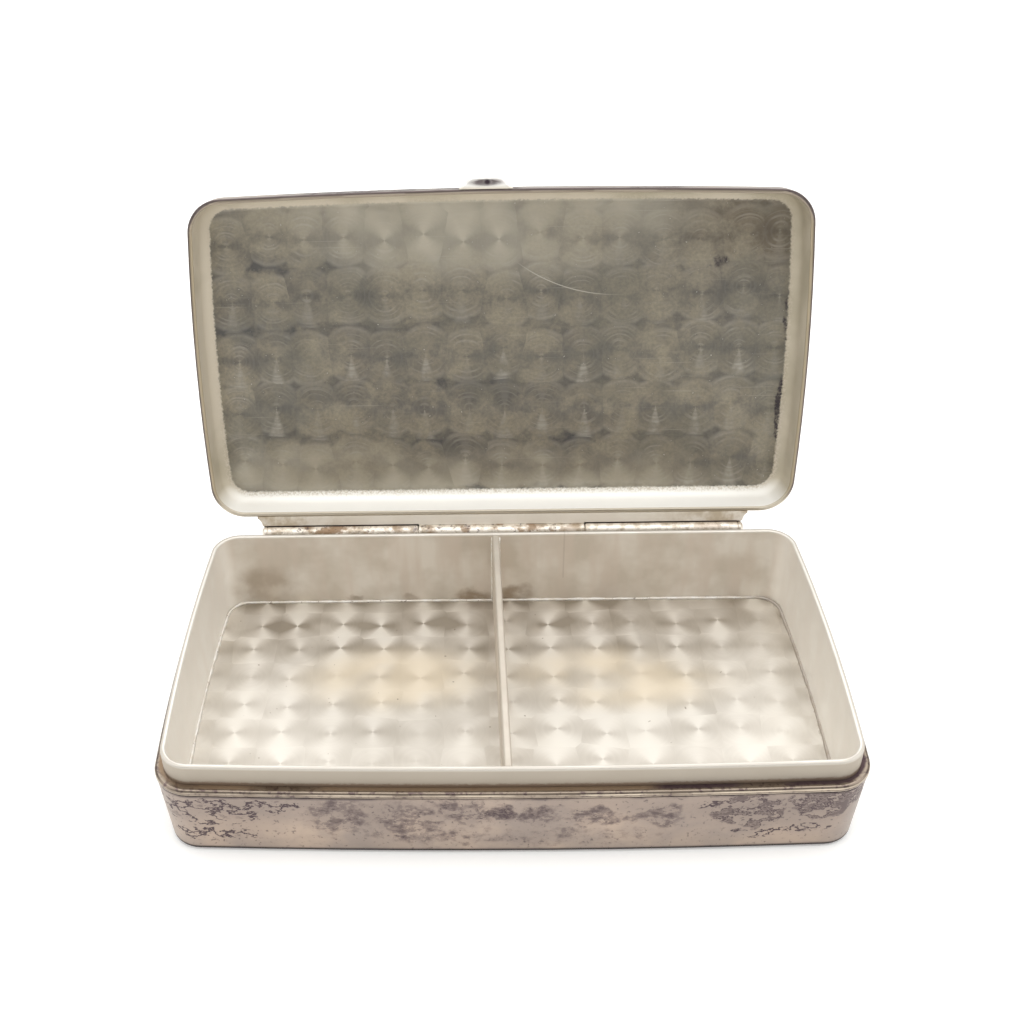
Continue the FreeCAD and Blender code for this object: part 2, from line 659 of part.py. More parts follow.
def make_lid_shell():
    """The stamped lid, drawn shut: leaning walls, a rounded top edge and a coved inside."""
    body = new_body("lid_shell")
    edge_round = f"min(sizes.lid_edge_radius; {BOTH_EDGES} * sizes.lid_wall)"
    section = new_sketch(body, "section", "YZ_Plane")
    add_section(
        section,
        [
            (across_back("0", AXIS_Y), "0", edge_round),
            (across_back(LID_LEAN, AXIS_Y), LID_HEIGHT, f"({COVE_RADIUS} + sizes.lid_wall)"),
            (across_back(SWEEP_INSET, AXIS_Y), LID_HEIGHT, None),
            (across_back(SWEEP_INSET, AXIS_Y), HOLLOW_HEIGHT, None),
            (across_back(f"(sizes.lid_wall + {HOLLOW_LEAN})", AXIS_Y), HOLLOW_HEIGHT, COVE_RADIUS),
            (across_back("sizes.lid_wall", AXIS_Y), "0", edge_round),
        ],
    )
    forward = f"-{AXIS_Y}"
    sweep(body, section, outline_sketch(body, "path", "0", y=forward))
    panel = outline_sketch(body, "panel", PLATE_INSET, y=forward, z=HOLLOW_HEIGHT)
    extrude(body, panel, "Pad", "sizes.lid_wall")
    place_on_hinge(body, turns_with_lid=True)


def make_thumbpiece():
    """The tab on the lid's front edge: wide root, rounded tip and a scoop for the nail underneath."""
    body = new_body("thumbpiece")
    face = f"({LID_FRONT} + sizes.solder_film)"
    plan = new_sketch(body, "plan", "XY_Plane", x="-sizes.thumb_offset", y=f"-{face}")
    root, tip = (f"(sizes.thumb_{end}_width / 2)" for end in ("root", "tip"))
    add_section(
        plan,
        [
            (root, "0", None),
            (f"-{root}", "0", None),
            (f"-{tip}", "-sizes.thumb_reach", "sizes.thumb_tip_round"),
            (tip, "-sizes.thumb_reach", "sizes.thumb_tip_round"),
        ],
    )
    tab = extrude(body, plan, "Pad", "sizes.thumb_thickness")
    wall_y = -number(face)
    rims = [
        edge
        for level in (0, number("sizes.thumb_thickness"))
        for face_at_level in flat_faces(tab.Shape, 2, level)
        for edge in face_at_level.Edges
        if not all(abs(vertex.Y - wall_y) < TOUCH for vertex in edge.Vertexes)
    ]
    round_edges(body, tab, rims, f"min(sizes.thumb_edge_radius; {BOTH_EDGES} * sizes.thumb_thickness)")
    scoop = new_sketch(
        body, "scoop", "XY_Plane", x="-sizes.thumb_offset", y=f"-({face} + sizes.thumb_scoop_reach)"
    )
    half_chord = "(sizes.thumb_scoop_length / 2)"
    left = Vector(-number(half_chord), 0, 0)
    right = -left
    crown = Vector(0, number("sizes.thumb_scoop_depth"), 0)
    arc_id = scoop.addGeometry(Part.Arc(right, crown, left), False)
    chord_id = scoop.addGeometry(Part.LineSegment(left, right), False)
    scoop.addConstraint(Sketcher.Constraint("Coincident", arc_id, END, chord_id, START))
    scoop.addConstraint(Sketcher.Constraint("Coincident", chord_id, END, arc_id, START))
    scoop.addConstraint(Sketcher.Constraint("Symmetric", chord_id, START, chord_id, END, *ORIGIN_POINT))
    scoop.addConstraint(Sketcher.Constraint("Horizontal", chord_id))
    constrain(scoop, "length", "sizes.thumb_scoop_length", "DistanceX", chord_id, START, chord_id, END)
    arc_radius = f"(({half_chord}^2 + sizes.thumb_scoop_depth^2) / (2 * sizes.thumb_scoop_depth))"
    constrain(scoop, "radius", arc_radius, "Radius", arc_id)
    doc.recompute()
    before = body.Shape.Volume
    groove = body.newObject("PartDesign::Groove", "thumbpiece_scoop_groove")
    groove.Profile = scoop
    groove.ReferenceAxis = (scoop, ["H_Axis"])
    doc.recompute()
    if groove.Shape.Volume > before - TOUCH:
        raise RuntimeError("the thumbpiece's scoop cuts nothing")
    place_on_hinge(body, turns_with_lid=True)


make_base_shell()
make_ledge_wire()
make_inner_rim()
make_compartment_floor()
make_divider()
make_base_hinge_bearer()
make_knuckle("base_knuckle_right", OUTER_KNUCKLE, OUTER_START, turns_with_lid=False)
make_knuckle("base_knuckle_left", OUTER_KNUCKLE, "-sizes.hinge_length / 2", turns_with_lid=False)
make_hinge_pin()
make_hinge_plug("hinge_plug_right", 1)
make_hinge_plug("hinge_plug_left", -1)
make_lid_shell()
make_lid_hinge_bearer()
make_knuckle("lid_knuckle", "sizes.lid_knuckle_length", "-sizes.lid_knuckle_length / 2", turns_with_lid=True)
make_thumbpiece()
doc.recompute()

for item in doc.Objects:
    if "Invalid" in item.State or "Error" in item.State:
        raise RuntimeError(f"{item.Label}: {item.State}")
for part in sub_parts:
    if part.Shape.isNull() or not part.Shape.isValid() or len(part.Shape.Solids) != 1:
        raise RuntimeError(f"{part.Label} is not one sound solid")

os.makedirs("parts", exist_ok=True)
for part in sub_parts:
    part.Shape.exportStep(f"parts/{part.Label}.step")
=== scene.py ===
"""Looks of a silver stamp box: the finishes of its pieces, its solder work and a plain studio."""

import logging
import math
from dataclasses import dataclass, replace
from enum import IntEnum
from typing import Dict, Optional, Sequence, Tuple, Union

import bmesh
import bpy
from mathutils import Matrix, Vector, noise


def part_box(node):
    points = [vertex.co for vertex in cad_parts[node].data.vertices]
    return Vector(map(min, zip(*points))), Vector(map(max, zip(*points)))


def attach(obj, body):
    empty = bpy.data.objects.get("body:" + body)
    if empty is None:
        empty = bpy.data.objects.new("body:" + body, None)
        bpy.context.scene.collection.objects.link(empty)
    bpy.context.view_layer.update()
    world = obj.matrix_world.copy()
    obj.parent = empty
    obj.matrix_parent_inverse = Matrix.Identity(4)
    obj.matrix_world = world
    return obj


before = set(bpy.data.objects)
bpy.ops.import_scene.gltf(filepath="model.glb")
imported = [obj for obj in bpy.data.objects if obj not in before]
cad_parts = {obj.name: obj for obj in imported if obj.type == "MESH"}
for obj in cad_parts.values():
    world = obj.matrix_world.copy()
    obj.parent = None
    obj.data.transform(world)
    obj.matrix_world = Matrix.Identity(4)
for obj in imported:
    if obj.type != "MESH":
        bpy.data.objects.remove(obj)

LOG = logging.getLogger("stamp_box")
MM = 0.001
PER_METRE = 1000.0

Colour = Tuple[float, float, float, float]
Point = Tuple[float, float, float]
Ramp = Tuple[float, float, float, float]
Node = bpy.types.Node
Value = Union[float, str, Sequence[float], bpy.types.NodeSocket, Node, None]
Inputs = Dict[str, Value]
Spots = Dict[str, Value]

# Settings and values that the finishes share
SMOOTH = {"interpolation_type": "SMOOTHSTEP"}
COLOUR = {"data_type": "RGBA"}
TIMES = {"operation": "MULTIPLY"}
TIMES_PLUS = {"operation": "MULTIPLY_ADD"}
MINUS = {"operation": "SUBTRACT"}
HIGHEST = {"operation": "MAXIMUM"}
UNSIGNED = {"operation": "ABSOLUTE"}
LENGTH = {"operation": "LENGTH"}
ABOVE = {"operation": "GREATER_THAN"}
TO_WORLD = {"vector_type": "VECTOR", "convert_from": "OBJECT", "convert_to": "WORLD"}
NOUGHT: Point = (0.0, 0.0, 0.0)
WHOLE: Point = (1.0, 1.0, 1.0)
LEVEL: Point = (1.0, 1.0, 0.0)
AHEAD: Point = (0.0, 1.0, 0.0)
UPWARDS: Point = (0.0, 0.0, 1.0)
BOW_TIE: Point = (-1.0, 1.0, 0.0)
INVERSE: Ramp = (0.0, 1.0, 1.0, 0.0)
NOISE_MIDDLE = 0.5
# Where a patch has faded out and where it is full, in its half sizes
PATCH_FADE = (1.25, 0.45)


class Side(IntEnum):
    """A compartment or a face of the divider, by its sign along X."""

    LEFT = -1
    RIGHT = 1


class End(IntEnum):
    """An end of the divider, by its sign along Y."""

    FRONT = -1
    BACK = 1


def linear(hex_colour: str) -> Colour:
    """Turns an sRGB hex colour to linear light.

    Args:
        hex_colour: Six hex digits.

    Returns:
        Red, green, blue and an alpha of one.
    """
    parts = [int(hex_colour[start : start + 2], 16) / 255 for start in (0, 2, 4)]
    red, green, blue = (
        part / 12.92 if part <= 0.04045 else ((part + 0.055) / 1.055) ** 2.4 for part in parts
    )
    return red, green, blue, 1.0


@dataclass(frozen=True)
class Turn:
    """A pattern's own frame: an origin in millimetres and a turn about X."""

    origin: Point = NOUGHT
    degrees: float = 0.0

    @property
    def angles(self) -> Point:
        """The turn as a Mapping node takes it."""
        return (math.radians(self.degrees), 0.0, 0.0)

    @property
    def location(self) -> Vector:
        """What a Mapping node adds after its turn, so that the origin lands on zero."""
        return -(Matrix.Rotation(self.angles[0], 3, "X") @ Vector(self.origin))


@dataclass(frozen=True)
class Outline:
    """A plan with bowed front and sides, a straight back and round corners, in millimetres."""

    half_width: float
    half_depth: float
    middle: float
    corner: float
    side_bow: float = 0.9
    front_bow: float = 0.95
    front_sign: float = -1.0


BOX = Outline(45.0, 24.55, 0.0, 5.0)


@dataclass(frozen=True)
class Grain:
    """A noise pattern: the size of its lumps in millimetres and how finely they break up."""

    size: float
    detail: float = 2.0
    roughness: float = 0.5

    def at(self, place: Node) -> Inputs:
        """A noise node's inputs at a point."""
        return {"Vector": place, "Scale": 1 / self.size, "Detail": self.detail, "Roughness": self.roughness}

    def along(self, way: Value) -> Inputs:
        """A noise node's inputs along one way only."""
        return {"W": way, "Scale": 1 / self.size, "Detail": self.detail}


@dataclass(frozen=True)
class Relief:
    """A surface's fine unevenness: how strongly it shows, and its depth in millimetres."""

    strength: float
    depth: float

    def of(self, height: Value) -> Inputs:
        """A bump node's inputs for a height."""
        return {"Strength": self.strength, "Distance": self.depth * MM, "Height": height}


@dataclass(frozen=True)
class Patch:
    """An oval area on a surface: its centre and half sizes in millimetres, and its strength."""

    centre: Point
    half: Point
    strength: float = 1.0

    @property
    def shrink(self) -> Point:
        """What brings the oval to a unit ball; a half size of zero leaves that axis out."""
        return tuple(1 / size if size else 0.0 for size in self.half)


class NodeBench:
    """A material whose nodes are set up one by one, on coordinates in millimetres."""

    def __init__(self, name: str) -> None:
        """Starts an empty material."""
        self.material = bpy.data.materials.new(name)
        self.material.use_nodes = True
        self.tree = self.material.node_tree
        self.tree.nodes.clear()

    def add(self, kind: str, *values: Value, named: Optional[Inputs] = None, **settings: object) -> Node:
        """Adds a node with its settings and links.

        Args:
            kind: The node's type, without the words ShaderNode.
            values: What goes into its open inputs, in their order: a node, a socket, a hex colour, a
                number, a vector or None.
            named: The same by the inputs' names.
            settings: The node's own settings.

        Returns:
            The new node.
        """
        node = self.tree.nodes.new(f"ShaderNode{kind}")
        for name, setting in settings.items():
            setattr(node, name, setting)
        pairs = list(zip([socket for socket in node.inputs if socket.enabled], values))
        pairs += [(node.inputs[name], value) for name, value in (named or {}).items()]
        for socket, value in pairs:
            if isinstance(value, bpy.types.Node):
                value = next(output for output in value.outputs if output.enabled)
            elif isinstance(value, str):
                value = linear(value)
            if isinstance(value, bpy.types.NodeSocket):
                self.tree.links.new(value, socket)
            elif value is not None:
                socket.default_value = value
        return node

    def place(self, turn: Turn = Turn()) -> Node:
        """The point on the surface, in millimetres, in a pattern's own frame.

        Args:
            turn: The pattern's frame.

        Returns:
            The node that gives the point.
        """
        point = self.add("TexCoord").outputs["Object"]
        return self.add("Mapping", point, turn.location, turn.angles, (PER_METRE,) * 3, vector_type="POINT")

    def inset(self, place: Node, outline: Outline) -> Node:
        """How far inside an outline a point lies.

        Args:
            place: The point, in the outline's frame.
            outline: The plan.

        Returns:
            The node that gives the distance in millimetres, negative outside.
        """
        axes = self.add("SeparateXYZ", place)
        across = self.add("Math", axes.outputs["X"], **UNSIGNED)
        along = self.add("Math", axes.outputs["Y"], outline.middle, **MINUS)
        share = self.add("Math", along, outline.half_depth, operation="DIVIDE")
        share_squared = self.add("Math", share, share, **TIMES)
        wide = self.add("Math", share_squared, outline.side_bow, across, **TIMES_PLUS)
        forward = self.add("Math", share, outline.front_sign, **TIMES, use_clamp=True)
        side = self.add("Math", across, outline.half_width, operation="DIVIDE")
        side_squared = self.add("Math", side, side, **TIMES)
        bowed = self.add("Math", side_squared, forward, **TIMES)
        depth = self.add("Math", along, **UNSIGNED)
        deep = self.add("Math", bowed, outline.front_bow, depth, **TIMES_PLUS)
        over_x = self.add("Math", wide, outline.half_width - outline.corner, **MINUS)
        over_y = self.add("Math", deep, outline.half_depth - outline.corner, **MINUS)
        over = self.add("CombineXYZ", over_x, over_y)
        past = self.add("VectorMath", over, NOUGHT, **HIGHEST)
        rounded = self.add("VectorMath", past, **LENGTH).outputs["Value"]
        nearer = self.add("Math", over_x, over_y, **HIGHEST)
        straight = self.add("Math", nearer, 0.0, operation="MINIMUM")
        outside = self.add("Math", rounded, straight, operation="ADD")
        return self.add("Math", outline.corner, outside, **MINUS)

    def patches(self, place: Node, patches: Sequence[Patch]) -> Node:
        """Soft ovals laid on a surface.

        Args:
            place: The point.
            patches: The ovals.

        Returns:
            The node that gives the strongest oval at the point.
        """
        spread: Value = 0.0
        for patch in patches:
            way = self.add("VectorMath", place, patch.centre, **MINUS)
            unit = self.add("VectorMath", way, patch.shrink, **TIMES)
            reach = self.add("VectorMath", unit, **LENGTH).outputs["Value"]
            share = self.add("MapRange", reach, *PATCH_FADE, 0.0, patch.strength, **SMOOTH)
            spread = self.add("Math", spread, share, **HIGHEST)
        return spread

    def warped(self, place: Node, grain: Grain, reach: float) -> Node:
        """Pushes points about by noise, so that what is laid on them has a ragged outline.

        Args:
            place: The point.
            grain: The noise.
            reach: How far it pushes, in millimetres.

        Returns:
            The node that gives the pushed point.
        """
        push = self.add("TexNoise", named=grain.at(place)).outputs["Color"]
        centred = self.add("VectorMath", push, (NOISE_MIDDLE,) * 3, **MINUS)
        return self.add("VectorMath", centred, (reach,) * 3, place, **TIMES_PLUS)

    def coats(self, ground: Value, *coats: Tuple[Value, Value]) -> Value:
        """Lays colours over each other.

        Args:
            ground: The lowest colour.
            coats: Where each coat lies and its colour, from the lowest up.

        Returns:
            The node that gives the colour on top.
        """
        for cover, colour in coats:
            ground = self.add("Mix", cover, ground, colour, **COLOUR)
        return ground

    def finish(
        self, colour: Value, roughness: Value, normal: Value = None, more: Optional[Inputs] = None
    ) -> bpy.types.Material:
        """Closes the material with its shader, a metal's unless it is told otherwise.

        Args:
            colour: What goes into the shader's base colour.
            roughness: What goes into its roughness.
            normal: The bump, if there is one.
            more: What goes into its other sockets, by their names.

        Returns:
            The finished material.
        """
        main = {"Metallic": 1.0, "Base Color": colour, "Roughness": roughness, "Normal": normal}
        shader = self.add("BsdfPrincipled", named={**main, **(more or {})})
        self.add("OutputMaterial", shader)
        return self.material


@dataclass(frozen=True)
class TurnedSpots:
    """Overlapping round spots ground into a sheet with a turning abrasive pin, in rows."""

    radius: float
    pitch: Tuple[float, float]
    drift: float
    # Real grinding marks are finer than the render shows, so the rings are drawn coarser
    ring: Grain = Grain(0.5, 3.0)
    ring_seed: float = 40.0
    blur: float = 0.12

    def lay(self, bench: NodeBench, place: Node) -> Spots:
        """Adds the nodes that find the nearest spot at each point.

        Args:
            bench: The material.
            place: The point, with the sheet in its XY plane.

        Returns:
            way, the direction from the spot's centre; bow, one fore and aft of the centre and minus one
            beside it; chance, the spot's own number; rings, its grinding marks; reach, the distance from
            its centre; cover, one on a spot.
        """
        pitch = (*self.pitch, 1.0)
        drift = (self.drift, self.drift, 1.0)
        flat = bench.add("VectorMath", place, LEVEL, **TIMES)
        cells = bench.add("VectorMath", flat, pitch, operation="DIVIDE")
        cell = bench.add("VectorMath", cells, operation="FLOOR")
        arm: Value = AHEAD
        reach: Value = PER_METRE
        for row in (1, 0, -1):
            for column in (-1, 0, 1):
                corner = bench.add("VectorMath", cell, (column, row, 0.0), operation="ADD")
                chance = bench.add("TexWhiteNoise", corner, noise_dimensions="2D").outputs["Color"]
                drifted = bench.add("VectorMath", chance, drift, corner, **TIMES_PLUS)
                centre = bench.add("VectorMath", drifted, pitch, **TIMES)
                way = bench.add("VectorMath", flat, centre, **MINUS)
                level = bench.add("VectorMath", way, LEVEL, **TIMES)
                length = bench.add("VectorMath", level, **LENGTH).outputs["Value"]
                nearer = bench.add("Math", length, reach, operation="LESS_THAN")
                arm = bench.add("Mix", nearer, arm, way, data_type="VECTOR")
                reach = bench.add("Math", reach, length, operation="MINIMUM")
        flat_arm = bench.add("VectorMath", arm, LEVEL, **TIMES)
        way = bench.add("VectorMath", flat_arm, operation="NORMALIZE")
        square = bench.add("VectorMath", way, way, **TIMES)
        bow = bench.add("VectorMath", square, BOW_TIE, operation="DOT_PRODUCT")
        chance = bench.add("Math", bench.add("SeparateXYZ", arm).outputs["Z"], -1.0, **TIMES)
        ring_at = bench.add("Math", chance, self.ring_seed, reach, **TIMES_PLUS)
        return {
            "way": way,
            "bow": bow.outputs["Value"],
            "chance": chance,
            "rings": bench.add("TexNoise", named=self.ring.along(ring_at), noise_dimensions="1D"),
            "reach": reach,
            "cover": bench.add("MapRange", reach, self.radius + self.blur, self.radius - self.blur),
        }


@dataclass(frozen=True)
class FloorSilver:
    """Sheet silver ground with turned spots: pale, with bow-tie glints both shaded and painted into its
    colour, painted shade at the back, warm where old polish stays.
    """

    name: str = "turned_sheet_silver_floor"
    pale: str = "F1EEE6"
    plain: str = "E7E2DA"
    shade: str = "B1A99D"
    cream: str = "EFE2CB"
    dirt: str = "83725F"
    roughness: float = 0.52
    blotch_roughness: float = 0.2
    anisotropy: float = 0.25
    relief: Relief = Relief(0.12, 0.02)
    spots: TurnedSpots = TurnedSpots(5.5, (6.3, 5.6), 0.2)
    worn: Grain = Grain(8.0, 2.0)
    blotch: Grain = Grain(13.0, 3.0)
    ragged: Grain = Grain(0.9, 4.0)
    speck: Grain = Grain(0.75, 1.0)
    warm: Grain = Grain(14.0, 3.0)
    light: float = 0.52
    chance_share: float = 0.06
    ring_share: float = 0.04
    blotch_share: float = 0.34
    ragged_reach: float = 1.1
    worn_ramp: Ramp = (0.38, 0.6, 0.1, 1.0)
    # Painted glints: how strongly the spots' bow-tie lightens and darkens the colour, from front to back
    bow_ramp: Ramp = (4.0, 16.0, 0.09, 0.3)
    dark_ramp: Ramp = (0.2, 0.6, 0.0, 1.0)
    pale_ramp: Ramp = (0.5, 0.95, 0.0, 1.0)
    edge_ramp: Ramp = (0.4, 0.95, 0.55, 0.0)
    speck_ramp: Ramp = (0.79, 0.82, 0.0, 0.5)
    back_shade_ramp: Ramp = (7.0, 18.0, 0.0, 0.12)
    right_ramp: Ramp = (36.0, 42.0, 0.1, 1.0)
    warm_ramp: Ramp = (0.36, 0.6, 0.2, 0.7)
    warm_patches: Tuple[Patch, ...] = (
        Patch((-15.0, 5.5, 2.0), (15.0, 7.0, 0.0)),
        Patch((17.0, 5.5, 2.0), (17.0, 6.5, 0.0)),
    )

    def material(self, outline: Outline) -> bpy.types.Material:
        """Makes the material.

        Args:
            outline: The floor's own outline.

        Returns:
            The material.
        """
        bench = NodeBench(self.name)
        place = bench.place()
        axes = bench.add("SeparateXYZ", place)
        laid = self.spots.lay(bench, place)
        blotch = bench.add("TexNoise", named=self.blotch.at(place))
        worn = bench.add("TexNoise", named=self.worn.at(place))
        kept = bench.add("MapRange", worn, *self.worn_ramp)
        bow = bench.add("Math", laid["bow"], kept, **TIMES)
        light: Value = self.light
        # The spots' bow-tie is painted light and shade, lighter fore and aft of each centre and darker
        # beside it; the back ramp is painted shade towards the back; chance, rings and blotch are the
        # sheet's own tone
        for part, share, middle in (
            (bow, bench.add("MapRange", axes.outputs["Y"], *self.bow_ramp), 0.0),
            (laid["chance"], self.chance_share, NOISE_MIDDLE),
            (laid["rings"], self.ring_share, NOISE_MIDDLE),
            (blotch, self.blotch_share, NOISE_MIDDLE),
            (bench.add("MapRange", axes.outputs["Y"], *self.back_shade_ramp), -1.0, 0.0),
        ):
            centred = bench.add("Math", part, middle, **MINUS)
            light = bench.add("Math", centred, share, light, **TIMES_PLUS)
        warm = bench.add("TexNoise", named=self.warm.at(place))
        warm = bench.add("MapRange", warm, *self.warm_ramp, **SMOOTH)
        warm = bench.add("Math", warm, bench.patches(place, self.warm_patches), **TIMES)
        ragged = bench.add("TexNoise", named=self.ragged.at(place))
        edge = bench.add("Math", ragged, self.ragged_reach, bench.inset(place, outline), **TIMES_PLUS)
        grime = bench.add("MapRange", edge, *self.edge_ramp, **SMOOTH)
        grime = bench.add("Math", grime, bench.add("MapRange", axes.outputs["X"], *self.right_ramp), **TIMES)
        specks = bench.add("TexNoise", named=self.speck.at(place))
        specks = bench.add("MapRange", specks, *self.speck_ramp)
        colour = bench.coats(
            self.shade,
            (bench.add("MapRange", light, *self.dark_ramp), self.plain),
            (bench.add("MapRange", light, *self.pale_ramp), self.pale),
            (warm, self.cream),
            (bench.add("Math", grime, specks, **HIGHEST), self.dirt),
        )
        smoothest = self.roughness - self.blotch_roughness / 2
        rough = bench.add("Math", blotch, self.blotch_roughness, smoothest, **TIMES_PLUS)
        height = bench.add("Math", specks, -1.0, laid["rings"], **TIMES_PLUS)
        bump = bench.add("Bump", named=self.relief.of(height))
        tangent = bench.add("VectorTransform", laid["way"], **TO_WORLD)
        return bench.finish(colour, rough, bump, {"Anisotropic": self.anisotropy, "Tangent": tangent})


@dataclass(frozen=True)
class Tarnish:
    """Sulphide tarnish on silver: branching purple-grey stains with darker outlines."""

    grain: Grain = Grain(1.9, 5.0, 0.62)
    breakup: Grain = Grain(3.2, 4.0, 0.6)
    ragged: Grain = Grain(3.4, 3.0)
    ragged_reach: float = 4.5
    breakup_share: float = 1.3
    line_ramp: Ramp = (0.008, 0.045, 1.0, 0.0)
    fill_ramp: Ramp = (0.5, 0.6, 0.0, 0.75)
    spread_ramp: Ramp = (0.42, 0.62, 0.0, 0.9)
    flatten: Point = (1.0, 1.0, 1.5)
    patches: Tuple[Patch, ...] = ()

    def lay(self, bench: NodeBench, place: Node, spread: Optional[Node] = None) -> Node:
        """Adds the nodes of the stain.

        Args:
            bench: The material.
            place: The point.
            spread: Where the stain lies, from nought to one; the stain's own patches where left out.

        Returns:
            The node that gives the stain's strength.
        """
        if spread is None:
            spread = bench.patches(bench.warped(place, self.ragged, self.ragged_reach), self.patches)
        flattened = bench.add("VectorMath", place, self.flatten, **TIMES)
        grain = bench.add("TexNoise", named=self.grain.at(flattened))
        contour = bench.add("Math", grain, NOISE_MIDDLE, **MINUS)
        contour = bench.add("Math", contour, **UNSIGNED)
        lines = bench.add("MapRange", contour, *self.line_ramp, **SMOOTH)
        fill = bench.add("MapRange", grain, *self.fill_ramp, **SMOOTH)
        stain = bench.add("Math", lines, fill, **HIGHEST)
        breakup = bench.add("TexNoise", named=self.breakup.at(place))
        broken = bench.add("Math", breakup, NOISE_MIDDLE, **MINUS)
        area = bench.add("Math", broken, self.breakup_share, spread, **TIMES_PLUS)
        area = bench.add("MapRange", area, *self.spread_ramp, **SMOOTH)
        return bench.add("Math", stain, area, **TIMES)


